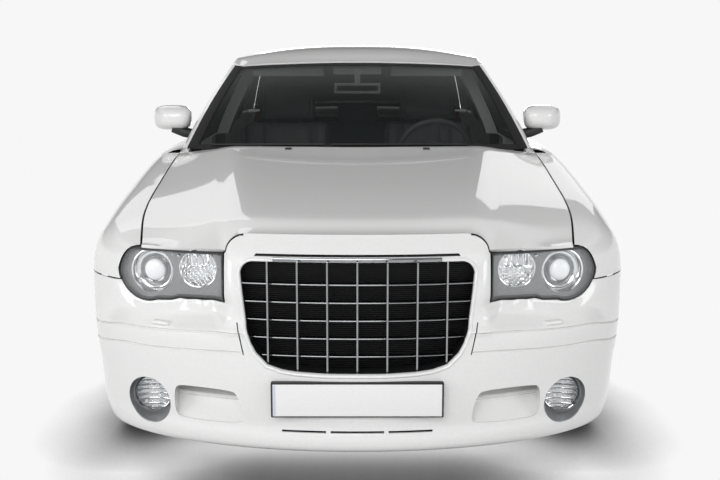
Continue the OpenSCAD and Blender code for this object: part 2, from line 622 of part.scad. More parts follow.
// Hinge leaves that reach from a post to the door's inner face
module hinge_leaves(s) for (z = [410, 760])
    block(door_inner - 30, door_inner - seat, s, s + 30, z, z + 60);
module rockers() {
    color("white") both_sides()
        translate([0, y_of(front_axle + arch_r + 4), 0]) rotate([90, 0, 180]) mirror([1, 0, 0])
            linear_extrude(wheelbase - 2 * arch_r - 8)
                polygon([[floor_half, sill_bottom], [half_w - 66, sill_bottom],
                    [half_w - 42, sill_bottom + 48],
                         [half_w - 32, door_bottom - shut_gap], [door_inner - 4, door_bottom - shut_gap],
                         [door_inner - 8, door_bottom - seat], [floor_half + 42, door_bottom - seat],
                             [floor_half, floor_top + 18]]);
    color("dimgray") both_sides() for (s = [front_axle + 560, rear_axle - 560])
        block(half_w - 170, half_w - 90, s - 40, s + 40, sill_bottom - 14, sill_bottom + 2);
}
module floor_pan() {
    heel = rear_axle - 430;
    seat_back = rear_axle - 110;
    color("dimgray") union() {
        block(seat - floor_half, floor_half - seat, cowl - 20, heel + 16, floor_top - 26, floor_top);
        block(-tunnel_half, tunnel_half, cowl - 10, heel + 8, floor_top - 2, tunnel_top);
        block(10 - floor_half, floor_half - 10, cowl - 20, cowl, floor_top - 22, 930);
        block(-rear_half - 10, rear_half + 10, heel, tail - 200, rear_floor_low, rear_floor);
        block(-rear_half - 10, rear_half + 10, heel, heel + 16, floor_top - 22, rear_floor_low + 8);
        block(-rear_half - 60, rear_half + 60, rear_axle + arch_r + 48, tail - 200, rear_floor_low,
            rear_floor);
        block(-rear_half - 5, rear_half + 5, seat_back, seat_back + 18, rear_floor - 8, 1036);
        block(-rear_half - 5, rear_half + 5, seat_back, deck - 60, 1018, 1036);
        both_sides() {
            wheel_house(rear_axle, arch_r + 44, rear_half, half_w - 90);
            wheel_house(front_axle, arch_r + 54, leg_out - 2, half_w - 100);
            block(leg_in, leg_out, 230, cowl - 12, leg_low, leg_top);
            strut_tower();
        }
        block(-leg_out, leg_out, 230, 262, leg_low, leg_top);
    }
}
// Strut tower on the front wheel house, with a rubber buffer under the bonnet
tower_x = half_w - 340;
buffer_top = bonnet_z(tower_x, front_axle) - lid_skin - 3.5;
module strut_tower() {
    translate([tower_x, y_of(front_axle), tyre_r + arch_r + 20]) cylinder(r = 70,
        h = buffer_top - tyre_r - arch_r - 50);
    translate([tower_x, y_of(front_axle), tyre_r + arch_r + 20]) cylinder(r = 10,
        h = buffer_top - tyre_r - arch_r - 20);
}
// A half tube over a wheel with its inner wall
module wheel_house(s, r, x0, x1) {
    difference() {
        across(r, x0, x1, s, tyre_r);
        across(r - 10, x0 + 14, x1 + 10, s, tyre_r);
        block(x0 - 10, x1 + 10, s - r - 10, s + r + 10, tyre_r - r - 10, tyre_r + 20);
        block(x0 - 10, x0 + 20, s - 180, s + 180, tyre_r, tyre_r + 164);
    }
}
module cowl_panel() {
    front = [for (u = steps(-1, 1, 12)) [u * (half_w - 174), y_of(bonnet_rear + 22 + 138 * u * u),
        1004 - 16 * u * u]];
    rear = [for (u = steps(-1, 1, 12)) [u * (half_w - 200), y_of(cowl + 52 + 165 * u * u),
        996 - 18 * u * u]];
    grid = [for (i = [0:12]) [front[i], rear[i]]];
    color("dimgray") panel(grid, [for (r = grid) [for (p = r) p - [0, 0, 22]]]);
}

// Grille bars, bowed about an upright axis behind the nose
bow_r = 1660;
bow_s = 46;
module bar_ring(z, h, depth) translate([0, y_of(bow_s + bow_r), z - h / 2]) rotate([0, 0, 270 - 14])
    rotate_extrude(angle = 28, $fn = 256) translate([bow_r - depth, 0]) square([depth, h]);
module grille() {
    pitch = (grille_high - grille_low) / (grille_bars + 1);
    color("silver") intersection() {
        union() {
            for (i = [1:grille_bars]) bar_ring(grille_low + i * pitch - 12, 7, 26);
            bar_ring(grille_high - 13, 26, 26);
            for (i = [0:grille_uprights - 1])
                let (a = asin((i - (grille_uprights - 1) / 2)
                    * grille_half / (grille_uprights / 2 + 0.46) / bow_r))
                translate([0, y_of(bow_s + bow_r), 0]) rotate([0, 0, a])
                    translate([-3, -bow_r + 2, grille_low]) cube([6, 22, grille_high - grille_low]);
        }
        translate([0, y_of(400), 0]) rotate([90, 0, 0]) linear_extrude(500) offset(delta = -1)
            polygon(GRILLE);
    }
}
module radiator() color("dimgray") block(18 - leg_out + seat, leg_out - 18 - seat, 176, 226, 300, 780);
LENS_TS = steps(0.27, 0.74, 10);
LENS_ZS = [606, 640, 680, 720, 770, 818];
// Space ahead of the lamp covers' inner faces
module lamp_front() {
    grid = [for (t = concat([0.2], LENS_TS, [0.8])) [for (z = LENS_ZS) nose_point(t, z)]];
    panel([for (r = grid) [for (p = r) p - [0, 300, 0]]], [for (r = grid) [for (p = r) p + [0, 10.7, 0]]]);
}
module lamp_prism(d) translate([0, y_of(560), 0]) rotate([90, 0,
    0]) linear_extrude(560) offset(delta = d) polygon(LAMP);
module lamp_body() {
    intersection() {
        lamp_prism(-4);
        difference() {
            translate([lamp_in, y_of(228), 560]) rotate([0, 0, 23]) translate([-160, 0, 0]) cube([720,
                100, 320]);
            translate([lamp_x, y_of(330), lamp_z - 6]) rotate([90, 0, 0]) cylinder(r1 = 52, r2 = 84,
                h = 120);
            translate([lamp_in + 97, y_of(280), lamp_z + 26]) rotate([90, 0, 0]) cylinder(r1 = 36,
                r2 = 78, h = 120);
        }
    }
    difference() {
        lamp_prism(-4);
        lamp_prism(-9);
        lamp_front();
        translate([lamp_in, y_of(240), 560]) rotate([0, 0, 23]) translate([-160, 0, 0]) cube([720, 400,
            320]);
    }
    block(leg_out - 11, leg_out - 1, 240, 310, leg_top + seat, leg_top + 60);
    translate([lamp_x, y_of(331), lamp_z - 6]) rotate([90, 0, 0]) cylinder(r = 34, h = 44);
    translate([lamp_in + 97, y_of(281), lamp_z + 26]) rotate([90, 0, 0]) cylinder(r = 22, h = 30);
}
module headlamps() color("silver") both_sides() union() lamp_body();
module lamp_lenses() {
    color("lightgray") both_sides() intersection() {
        shell([for (t = LENS_TS) [for (z = LENS_ZS) nose_point(t, z) + [0, 4, 0]]], 4);
        translate([0, y_of(560), 0]) rotate([90, 0, 0]) linear_extrude(560) offset(delta = -2)
            polygon(LAMP);
    }
}
module fog_lamps() {
    color("silver") both_sides() translate([fog_x, y_of(331), fog_z]) rotate([90, 0, 0]) difference() {
        cylinder(r = fog_r - 0.3, h = 96);
        translate([0, 0, 40]) cylinder(r1 = 30, r2 = fog_r - 12, h = 57);
    }
}
module number_plate() {
    z = 380;
    color("white") union() {
        block(-plate_w / 2, plate_w / 2, -plate_proud, -seat, z - plate_h / 2, z + plate_h / 2);
        both_sides() block(plate_w / 2 - 45, plate_w / 2 - 10, -2, 12, z - 30, z + 30);
    }
}

// Wheels lie along X
module tyre_at(x, s) {
    w = tyre_w / 2;
    color("black") translate([x, y_of(s), tyre_r]) rotate([0, 90, 0]) rotate_extrude($fn = 72)
        polygon(concat([[rim_r + 1, -w + 16], [rim_r + 12, -w + 10], [rim_r + 46, -w]],
                       [[tyre_r - 34, -w + 4], [tyre_r - 14, -w + 14], [tyre_r - 4, -w + 32],
                           [tyre_r, -w + 60]],
                       [[tyre_r, w - 60], [tyre_r - 4, w - 32], [tyre_r - 14, w - 14],
                           [tyre_r - 34, w - 4]],
                       [[rim_r + 46, w], [rim_r + 12, w - 10], [rim_r + 1, w - 16]]));
}
// The face points to +X
module rim() {
    w = tyre_w / 2;
    color("silver") difference() {
        union() {
            rotate([0, 90, 0]) rotate_extrude($fn = 72)
                polygon([[rim_r, -w + 20], [rim_r, w - 20], [rim_r - 10, w - 12], [rim_r - 20, w - 14],
                         [rim_r - 24, w - 20], [rim_r - 24, -w + 22]]);
            rotate([0, 90, 0]) translate([0, 0, 6]) cylinder(r = 170, h = 28);
            rotate([0, 90, 0]) translate([0, 0, 20]) cylinder(r = 70, h = 40);
            rotate([0, 90, 0]) translate([0, 0, 46]) cylinder(r = 80, h = 46);
            for (i = [0:spokes - 1]) rotate([i * 360 / spokes, 0, 0])
                rotate([90, 0, 90]) translate([0, 0, 58]) linear_extrude(30)
                    polygon([[-26, 66], [26, 66], [17, rim_r - 12], [-17, rim_r - 12]]);
        }
        rotate([0, 90, 0]) cylinder(r = spindle_r + 0.08, h = 70);
    }
}
module wheel_at(s) translate([track / 2, y_of(s), tyre_r]) rim();
module wheel_front_left() wheel_at(front_axle);
module wheel_front_right() mirror([1, 0, 0]) wheel_at(front_axle);
module wheel_rear_left() wheel_at(rear_axle);
module wheel_rear_right() mirror([1, 0, 0]) wheel_at(rear_axle);
module tyre_front_left() tyre_at(track / 2, front_axle);
module tyre_front_right() tyre_at(-track / 2, front_axle);
module tyre_rear_left() tyre_at(track / 2, rear_axle);
module tyre_rear_right() tyre_at(-track / 2, rear_axle);

pin_x = track / 2 - kingpin_inset;
pin_r = 14;
pin_low = tyre_r - 130;
pin_high = tyre_r + 130;
module knuckle_left() {
    color("dimgray") translate([0, y_of(front_axle), 0]) union() {
        translate([pin_x, 0, pin_low - 26]) cylinder(r = pin_r, h = pin_high - pin_low + 52);
        translate([pin_x, 0, pin_low + 18]) cylinder(r = 30, h = pin_high - pin_low - 36);
        across(spindle_r, pin_x, track / 2 + 66, middle, tyre_r);
        across(58, pin_x - 20, track / 2 - 8, middle, tyre_r);
        translate([track / 2 - 34, 96, tyre_r - 60]) cube([26, 100, 120]);
        translate([track / 2 + 40, 118, tyre_r - 60]) cube([11, 78, 120]);
        translate([track / 2 - 34, 178, tyre_r - 60]) cube([85, 20, 120]);
        translate([pin_x - 10, 20, tyre_r - 30]) cube([track / 2 - pin_x, 100, 60]);
    }
}
module knuckle_right() mirror([1, 0, 0]) knuckle_left();
module arm(inner, h) {
    difference() {
        linear_extrude(h) polygon([[inner, -150], [inner + 30, -150], [pin_x - 20, -34], [pin_x + 26, -34],
                                   [pin_x + 26, 34], [pin_x - 20, 34], [inner + 30, 150], [inner, 150]]);
        translate([pin_x, 0, -1]) cylinder(r = pin_r + 0.08, h = h + 2);
    }
}
module front_axle_frame() {
    color("dimgray") translate([0, y_of(front_axle), 0]) union() {
        translate([12 - leg_out, -160, pin_low - 18]) cube([2 * leg_out - 24, 320, 34]);
        both_sides() {
            translate([0, 0, pin_low - 18]) arm(leg_in - 20, 28);
            translate([0, 0, pin_high - 8]) arm(leg_in - 20, 28);
            translate([leg_in - 20, -150, pin_low]) cube([24, 300, pin_high - pin_low + 10]);
            translate([leg_in - 2, -150, pin_high]) cube([30, 300, leg_low - seat - pin_high]);
            translate([pin_x - 195, 0, pin_low]) cylinder(r = 44, h = 500);
        }
    }
}
module rear_axle_frame() {
    color("dimgray") translate([0, y_of(rear_axle), 0]) union() {
        translate([-430, -60, tyre_r - 60]) cube([860, 120, 60]);
        translate([0, 0, tyre_r - 70]) rotate([90, 0, 0]) translate([0, 0, -150]) cylinder(r = 90, h = 260);
        both_sides() {
            translate([380, -60, tyre_r - 30]) cube([50, 120, rear_floor_low - seat - tyre_r + 30]);
            across(26, 100, track / 2 - 60, middle, tyre_r);
            across(spindle_r, track / 2 - 80, track / 2 + 66, middle, tyre_r);
            across(60, track / 2 - 90, track / 2 - 8, middle, tyre_r);
            translate([420, -40, tyre_r - 100]) cube([track / 2 - 490, 80, 40]);
            translate([track / 2 - 90, -40, tyre_r - 100]) cube([50, 80, 100]);
            translate([track / 2 - 34, -196, tyre_r - 60]) cube([26, 100, 120]);
            translate([track / 2 + 40, -196, tyre_r - 60]) cube([11, 78, 120]);
            translate([track / 2 - 34, -198, tyre_r - 60]) cube([85, 20, 120]);
            translate([track / 2 - 70, -120, tyre_r - 30]) cube([50, 110, 60]);
        }
    }
}
module engine() color("gray") union() {
    block(-300, 300, 330, cowl - 60, 330, 800);
    block(-240, 240, 380, cowl - 120, 790, 836);
    block(-110, 110, cowl - 70, cowl - 20 - seat, 330, 560);
}
module exhaust() {
    color("silver") both_sides() union() {
        translate([520, y_of(tail - 40), 232]) rotate([90, 0, 0]) cylinder(r = 30, h = 420);
        block(430, 610, tail - 440, tail - 250, 200, 290);
        block(500, 540, tail - 400, tail - 360, 280, rear_floor_low - seat);
    }
}

seat_in = tunnel_half + 5;
seat_out = door_inner - 200;
seat_x = (seat_in + seat_out) / 2;
seat_half = (seat_out - seat_in) / 2;
head_z = rail_height - 324;
// Outlines in side view, as station and height
CUSHION = [[0, 300], [20, 440], [90, 480], [430, 440], [520, 420], [520, 300]];
BACKREST = [[430, 400], [560, 1030], [600, 1058], [650, 1040], [660, 980], [560, 380]];
HEADREST = [[585, head_z], [598, head_z + 162], [625, head_z + 184], [660, head_z + 177],
    [678, head_z + 147],
            [676, head_z + 12], [650, head_z - 4]];
module seat_slice(outline, s, x0, x1) translate([x0, y_of(s),
    0]) rotate([90, 0, 90]) linear_extrude(x1 - x0) polygon(outline);
module front_seats() {
    seat_s = door_split - 335;
    color("black") both_sides() union() {
        seat_slice(CUSHION, seat_s, seat_in, seat_out);
        seat_slice(BACKREST, seat_s, seat_in + 10, seat_out - 10);
        seat_slice(HEADREST, seat_s, seat_in + 95, seat_out - 95);
        for (x = [-70, 70]) translate([seat_x + x, y_of(seat_s + 624),
            head_z - 48]) cylinder(r = 8, h = 80);
        block(seat_in + 50, seat_out - 50, seat_s + 40, seat_s + 480, floor_top + seat, 310);
    }
}
module rear_seat() {
    back = rear_axle - 116;
    color("black") union() {
        both_sides() block(tunnel_half + 4, rear_half - 12, back - 620, rear_axle - 434, 250, 400);
        translate([12 - rear_half, y_of(back), 0]) rotate([90, 0, 90]) linear_extrude(2 * rear_half - 24)
            polygon([[-660, 390], [-650, 450], [-560, 490], [-220, 460], [-60, 1000], [-30, 1012],
                [-2, 1000],
                     [-2, rear_floor + 8], [-290, rear_floor + seat], [-318, rear_floor + seat],
                         [-318, 390]]);
        for (x = [-1, 0, 1] * (rear_half - 240)) translate([x, 0, 0])
            seat_slice([[-96, 1000], [-86, rail_height - 282], [-40, rail_height - 272],
                [-10, rail_height - 302],
                        [-10, 1000]], back, -130, 130);
    }
}
module dashboard() {
    s = cowl + 40;
    color("black") union() {
        translate([165 - door_inner, y_of(s), 0]) rotate([90, 0, 90]) linear_extrude(2 * door_inner - 330)
            polygon([[0, 958.2], [330, 958.6], [520, 930], [560, 880], [540, 760], [430, 620],
                [360, 600], [120, 640],
                     [0, 700]]);
        block(5 - seat_in, seat_in - 5, s + 330, door_split + 120, tunnel_top + seat, 560);
        block(-170, 170, s + 340, s + 520, 420, 700);
    }
}
wheel_s = cowl + 880;
wheel_z = 935;
column_tilt = 24;
module steering_wheel() {
    color("black") translate([seat_x, y_of(wheel_s), wheel_z]) rotate([-90 + column_tilt, 0, 0]) union() {
        rotate_extrude($fn = 72) translate([180, 0]) circle(r = 15, $fn = 20);
        translate([0, 0, -46]) cylinder(r = 72, h = 62);
        for (a = [0, 90, 180]) rotate([0, 0, a]) translate([60, -22, -20]) cube([112, 44, 22]);
    }
}
module steering_column() {
    color("black") translate([seat_x, y_of(wheel_s), wheel_z]) rotate([-90 + column_tilt, 0, 0])
        translate([0, 0, -289.3]) cylinder(r = 46, h = 242.8);
}
// Space above the headlining, or above the inner face of the windscreen, for some rows of a panel's grid
function rows_of(grid, i0, i1, j0, j1) = [for (i = [i0:i1]) [for (j = [j0:j1]) grid[i][j]]];
module above(grid, thick, i0, i1, j0, j1)
    panel(rows_of(offset_grid(grid, -120), i0, i1, j0, j1),
          rows_of(offset_grid(grid, thick + seat), i0, i1, j0, j1));
module overhead_trim() {
    color("dimgray") {
        difference() {
            union() {
                block(-112, 112, header - 104, header - 72, roof_height - 240, roof_height - 190);
                block(-14, 14, header - 100, header - 60, roof_height - 200, roof_height - 60);
            }
            above(SCREEN_GRID, glass, 5, 9, 2, 5);
        }
        difference() {
            union() {
                block(-120, 120, header + 30, header + 190, roof_height - 150, roof_height - 20);
                both_sides() block(170, rail_half - 102, header + 60, header + 190, roof_height - 158,
                    roof_height - 40);
            }
            above(ROOF_GRID, lid_skin - 4, 1, 11, 0, 3);
            both_sides() block(160, rail_half - 82, header + 110, header + 200, roof_height - 144,
                roof_height - 20);
        }
    }
}

floor_pan();
rockers();
pillars();
quarter_left();
quarter_right();
roof_panel();
cowl_panel();
front_fender_left();
front_fender_right();
front_bumper();
rear_bumper();
grille();
radiator();
headlamps();
lamp_lenses();
fog_lamps();
tail_lamps();
number_plate();
windscreen();
rear_window();
front_seats();
rear_seat();
dashboard();
steering_column();
overhead_trim();
engine();
front_axle_frame();
rear_axle_frame();
exhaust();
bonnet();
boot_lid();
door_front_left();
door_front_right();
door_rear_left();
door_rear_right();
glass_front_left();
glass_front_right();
glass_rear_left();
glass_rear_right();
mirror_left();
mirror_right();
steering_wheel();
knuckle_left();
knuckle_right();
wheel_front_left();
wheel_front_right();
wheel_rear_left();
wheel_rear_right();
tyre_front_left();
tyre_front_right();
tyre_rear_left();
tyre_rear_right();
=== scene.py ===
import math

import bmesh
import bpy
from mathutils import Matrix, Vector


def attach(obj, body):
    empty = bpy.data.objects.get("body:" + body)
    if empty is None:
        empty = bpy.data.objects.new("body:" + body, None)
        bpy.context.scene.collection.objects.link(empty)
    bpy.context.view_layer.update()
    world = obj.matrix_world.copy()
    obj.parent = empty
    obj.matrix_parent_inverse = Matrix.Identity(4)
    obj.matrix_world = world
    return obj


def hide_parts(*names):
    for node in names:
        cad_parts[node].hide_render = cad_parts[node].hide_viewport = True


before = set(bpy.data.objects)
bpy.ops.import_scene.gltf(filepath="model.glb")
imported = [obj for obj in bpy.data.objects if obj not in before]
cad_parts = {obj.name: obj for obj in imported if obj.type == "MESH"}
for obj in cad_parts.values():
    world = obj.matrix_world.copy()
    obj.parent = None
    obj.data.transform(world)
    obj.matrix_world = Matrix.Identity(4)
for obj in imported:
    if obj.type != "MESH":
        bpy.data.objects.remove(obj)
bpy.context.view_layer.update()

scene = bpy.context.scene
scene.view_settings.view_transform = "Standard"

# Sizes of the car in millimetres. A station is a distance behind the nose.
HALF_W, RAIL_HALF, RAIL_HEIGHT = 940, 622, 1402
GAP, SKIN, LID_SKIN, GLASS = 7, 20, 24, 5
DOOR_BOTTOM, WAIST = 272, 620
FRONT_AXLE, REAR_AXLE, TAIL, MIDDLE = 940, 3988, 5000, 2493
FRONT_TURN, REAR_TURN = 500, 4560
EDGE_FRONT, EDGE_REAR = 255, TAIL - 130
DOOR_FRONT, DOOR_SPLIT, DOOR_REAR = 1560, 2640, 3700
COWL, HEADER, ROOF_REAR, DECK = 1430, 2225, 3638, 4160
TRACK, TYRE_R, TYRE_W, RIM_R, ARCH_R = 1600, 364, 245, 254, 402
DOOR_INNER, FRAME_DEPTH, PANE_DEPTH = 845, 44, 16
GRILLE_HALF, GRILLE_LOW, GRILLE_HIGH = 362, 455, 792
BUMPER_SEAM, REAR_SEAM = 692, 690
BONNET_LOW, BONNET_HIGH = 814, 866
SEAT_X, SEAT_HALF, SEAT_S = 395, 250, 2305
HEAD_Z = RAIL_HEIGHT - 324
FLARE, FLARE_REACH = 16, 48
# Powers: lean of the side glass, squareness of the rear corners
LEAN, SQUARE = 1.12, 0.8
# Share of the front corner where the fender begins; run of the side per unit past a corner
FENDER_T, PAST_CORNER = 0.57, 1000
# Cutting tools reach past everything: sideways, through a door, ahead of the nose, behind it, upward
FAR, DOOR_TOOL, TOOL_FRONT, TOOL_BACK, TOOL_TOP = 1100, 1200, -100, 400, 1300
# Radius that closes the end of a turned piece; points nearer than these many metres are welded
TIP, WELD, TIP_WELD = 0.01, 0.0002, 1e-6
MM = 1000  # millimetres in a metre

# Columns: station, inset of the waist line
PLAN = [(500, 32), (940, 15), (1560, 6), (2640, 0), (3700, 5), (3988, 15), (4560, 46)]
# Columns: height, inset below the waist
TUCK = [(180, 62), (272, 30), (360, 12), (480, 3), (620, 0)]
# Columns: station, half width, height of the upper body edge
EDGE = [(255, 700, 800), (550, 744, 872), (950, 764, 930), (1640, 784, 1004), (2640, 802, 1018),
        (3700, 784, 1046), (4180, 752, 1076), (4680, 722, 1084), (4870, 664, 1070)]
# Columns: height, station of the front face
NOSE = [(196, 46), (206, 16), (222, 3), (250, 0), (266, 4), (276, 8), (330, 2), (420, 0), (515, 3), (574, 12),
        (592, 40), (616, 72), (640, 84), (700, 92), (800, 108), (866, 132)]
# Columns: height, inset below the waist at the front
NOSE_TUCK = [(180, 58), (222, 44), (272, 32), (360, 24), (480, 13), (620, 2), (680, 0)]
# Columns: height, how far the grille surround stands ahead of the lamps
SURROUND = [(560, 0), (640, 52), (780, 48), (866, 8)]
# Columns: height, distance of the rear face ahead of the tail
REAR_FACE = [(235, 70), (262, 24), (330, 3), (440, 0), (560, 2), (640, 14), (668, 46), (690, 58), (1090, 96)]
# Columns: station, height on the centre line
BONNET = [(100, 862), (300, 896), (700, 950), (1410, 1034)]
ROOF = [(2230, 1394), (2485, 1458), (2875, 1480), (3338, 1466), (3660, 1418)]
LID = [(4176, 1102), (4340, 1112), (4580, 1112), (4810, 1108), (4882, 1102), (4900, 1092), (4904, 1060),
       (4916, 900), (4934, 720), (4940, 697)]


def lerp(a, b, u):
    if isinstance(a, (tuple, list)):
        return tuple(p + (q - p) * u for p, q in zip(a, b))
    return a + (b - a) * u


def unit(u):
    return min(1.0, max(0.0, u))


def ease(u):
    c = unit(u)
    return c * c * (3 - 2 * c)


def steps(a, b, n):
    return [lerp(a, b, i / n) for i in range(n + 1)]


def curve(table, k, column=1):
    """Smooth curve through a column of a table."""
    i = 0
    while i < len(table) - 2 and k >= table[i + 1][0]:
        i += 1

    def slope(j):
        a, b = max(0, j - 1), min(len(table) - 1, j + 1)
        return (table[b][column] - table[a][column]) / (table[b][0] - table[a][0])
    w = table[i + 1][0] - table[i][0]
    u = unit((k - table[i][0]) / w)
    return ((1 + 2 * u) * (1 - u) ** 2 * table[i][column] + u * (1 - u) ** 2 * w * slope(i)
            + u * u * (3 - 2 * u) * table[i + 1][column] - u * u * (1 - u) * w * slope(i + 1))


def waist_x(s):
    return HALF_W - curve(PLAN, s)


def edge_x(s):
    return curve(EDGE, s, 1)


def edge_z(s):
    return curve(EDGE, s, 2)


def flare(s, z):
    r = min(math.hypot(s - FRONT_AXLE, z - TYRE_R), math.hypot(s - REAR_AXLE, z - TYRE_R))
    return FLARE * math.exp(-((r - ARCH_R) / FLARE_REACH) ** 2)


def shoulder_z(w):
    return max(0, math.sin(math.pi / 2 * w)) ** (2 / 3)


def shoulder_x(w):
    return max(0, math.cos(math.pi / 2 * w)) ** 0.5


def side_point(s, w):
    """Body side: w is -1 at the sill, 0 at the waist, 1 at the upper edge and 2 at the roof rail."""
    if w < 0:
        z = lerp(WAIST, DOOR_BOTTOM, -w)
        return (waist_x(s) - curve(TUCK, z) + flare(s, z), s, z)
    if w < 1:
        z = lerp(WAIST, edge_z(s), shoulder_z(w))
        return (lerp(edge_x(s), waist_x(s), shoulder_x(w)) + flare(s, z), s, z)
    return (lerp(edge_x(s), RAIL_HALF, (w - 1) ** LEAN), s, lerp(edge_z(s), RAIL_HEIGHT, w - 1))


def glass_x(s, z):
    return lerp(edge_x(s), RAIL_HALF, unit((z - edge_z(s)) / (RAIL_HEIGHT - edge_z(s))) ** LEAN)


def front_corner(t, w):
    a = math.pi / 2 * t
    waist = (waist_x(FRONT_TURN) * math.sin(a), lerp(FRONT_TURN, 88, math.cos(a)))
    s, k = lerp(EDGE_FRONT, FRONT_TURN, (t - FENDER_T) / (1 - FENDER_T)), shoulder_x(w)
    return (lerp(edge_x(s), waist[0], k), lerp(s, waist[1], k), lerp(WAIST, edge_z(s), shoulder_z(w)))


def rear_corner(t, w):
    a = math.pi / 2 * (1 - t)
    waist = (waist_x(REAR_TURN) * math.sin(a) ** SQUARE,
             lerp(REAR_TURN, TAIL - 52, max(0, math.cos(a)) ** SQUARE))
    s, k = lerp(REAR_TURN, EDGE_REAR, unit(t / 0.62)), shoulder_x(w)
    return (lerp(edge_x(s), waist[0], k), lerp(s, waist[1], k), lerp(WAIST, edge_z(s), shoulder_z(w)))


def nose_point(t, z):
    """Front face at a height: t is 0 on the centre line and 1 where the side begins."""
    a, low = math.pi / 2 * min(1, abs(t)), min(z, WAIST)
    x = (waist_x(FRONT_TURN) - curve(NOSE_TUCK, low)) * math.sin(a)
    face = curve(NOSE, z) - curve(SURROUND, z) * (1 - ease((x - GRILLE_HALF - 30) / 56))
    s = lerp(FRONT_TURN, face, math.cos(a))
    s += max(0, abs(t) - 1) * PAST_CORNER
    side = x if abs(t) <= 1 else waist_x(s) - curve(NOSE_TUCK, low) + flare(s, z)
    return (math.copysign(side, t), s, z)


def nose_turn(x, z):
    """The t of the front face at a half width and height."""
    return math.asin(min(1, abs(x) / (waist_x(FRONT_TURN) - curve(NOSE_TUCK, min(z, WAIST))))) * 2 / math.pi


def nose_at(x, z):
    return nose_point(nose_turn(x, z), z)[1]


def tail_point(t, z):
    """Rear face at a height: t is 0 on the centre line and 1 where the side begins."""
    a, low = math.pi / 2 * min(1, abs(t)), min(z, WAIST)
    s = lerp(REAR_TURN, TAIL - curve(REAR_FACE, z), max(0, math.cos(a)) ** SQUARE)
    s -= max(0, abs(t) - 1) * PAST_CORNER
    if abs(t) <= 1:
        side = (waist_x(REAR_TURN) - curve(TUCK, low)) * math.sin(a) ** SQUARE
    else:
        side = waist_x(s) - curve(TUCK, low) + flare(s, z)
    return (math.copysign(side, t), s, z)


def crease_x(s):
    return lerp(GRILLE_HALF + 68, HALF_W - 340, (s - 150) / (COWL - 150))


def bonnet_z(x, s):
    e, k, c, a = edge_x(s), crease_x(s), curve(BONNET, s) - 12, abs(x)
    if a < k:
        return c + 14 * (1 - (1 - unit((k - a) / 110)) ** 2)
    return lerp(c, edge_z(s), unit((a - k) / (e - k)) ** 1.1)


def front_seam(x):
    """Height of the bonnet's front edge: level over the grille, falling in a quarter round to the lamps."""
    u = unit((abs(x) - GRILLE_HALF + 8) / 54)
    return lerp(BONNET_LOW, BONNET_HIGH, math.sqrt(1 - u * u))


def bonnet_point(q, v):
    """q is 0 on the centre line, 0.5 on the crease and 1 at the fender."""
    def across(s):
        k, e = crease_x(s), edge_x(s) - GAP
        return lerp(0, k, abs(q) * 2) if abs(q) < 0.5 else lerp(k, e, abs(q) * 2 - 1)
    front = across(EDGE_FRONT)
    low = front_seam(front)
    nose_s = nose_at(front, low) + 6
    back = across(COWL) / (edge_x(COWL) - GAP)
    s = lerp(nose_s, COWL - 28 + 138 * back * back, v)
    x = across(s)
    z = lerp(bonnet_z(x, s), low, (1 - unit((s - nose_s) / 170)) ** 2)
    return (math.copysign(x, q), s, z)


def roof_point(u, s):
    a, front, back = u * u, ease((s - HEADER) / 420), ease((s - ROOF_REAR + 320) / 340)
    mid = front * (1 - back)
    return (u * lerp(RAIL_HALF - 22, RAIL_HALF + 4, mid), s + 62 * a * (1 - front) - 48 * a * back,
            curve(ROOF, s) - lerp(22, 56, mid) * abs(u) ** 2.5)


def windscreen_point(u, v):
    a = u * u
    x, s, z = lerp((748 * u, COWL + 35 + 165 * a, 1022 - 14 * a),
                   (602 * u, HEADER + 62 * a, 1386 - 20 * a), v)
    return (x, s, z + 20 * math.sin(math.pi * v))


def rear_window_point(u, v):
    a = u * u
    x, s, z = lerp((690 * u, DECK - 12 - 105 * a, 1098 - 18 * a),
                   (588 * u, ROOF_REAR + 30 - 48 * a, 1412 - 24 * a), v)
    return (x, s, z + 14 * math.sin(math.pi * v))


# Pieces are meshes in metres. Grids turn right-handed to their outside.
def metres(p):
    return Vector((p[0] / MM, (p[1] - MIDDLE) / MM, p[2] / MM))


def form(name, verts, faces, scale=True):
    mesh = bpy.data.meshes.new(name)
    mesh.from_pydata([metres(p) if scale else p for p in verts], [], faces)
    piece = bpy.data.objects.new(name, mesh)
    scene.collection.objects.link(piece)
    return piece


def ring_faces(n, m, closed=False):
    """Faces of n rings of m points each, one after another."""
    return [(i * m + k, i * m + (k + 1) % m, (i + 1) % n * m + (k + 1) % m, (i + 1) % n * m + k)
            for i in range(n if closed else n - 1) for k in range(m)]


def turned_faces(n, m, caps=False):
    """Faces of a profile of m points turned in n places."""
    return [(i * m + k, (i + 1) % n * m + k, (i + 1) % n * m + (k + 1) % m, i * m + (k + 1) % m)
            for i in range(n) for k in range(m if caps else m - 1)]


def grid_faces(n, m):
    """Faces of an open grid of n by m points."""
    return [(i * m + j, (i + 1) * m + j, (i + 1) * m + j + 1, i * m + j + 1)
            for i in range(n - 1) for j in range(m - 1)]


def faced_outward(piece, weld=0.0):
    """Turns all faces to the outside, after welding points closer than weld in metres."""
    bm = bmesh.new()
    bm.from_mesh(piece.data)
    if weld:
        bmesh.ops.remove_doubles(bm, verts=bm.verts, dist=weld)
    bmesh.ops.recalc_face_normals(bm, faces=bm.faces)
    bm.to_mesh(piece.data)
    bm.free()
    return piece


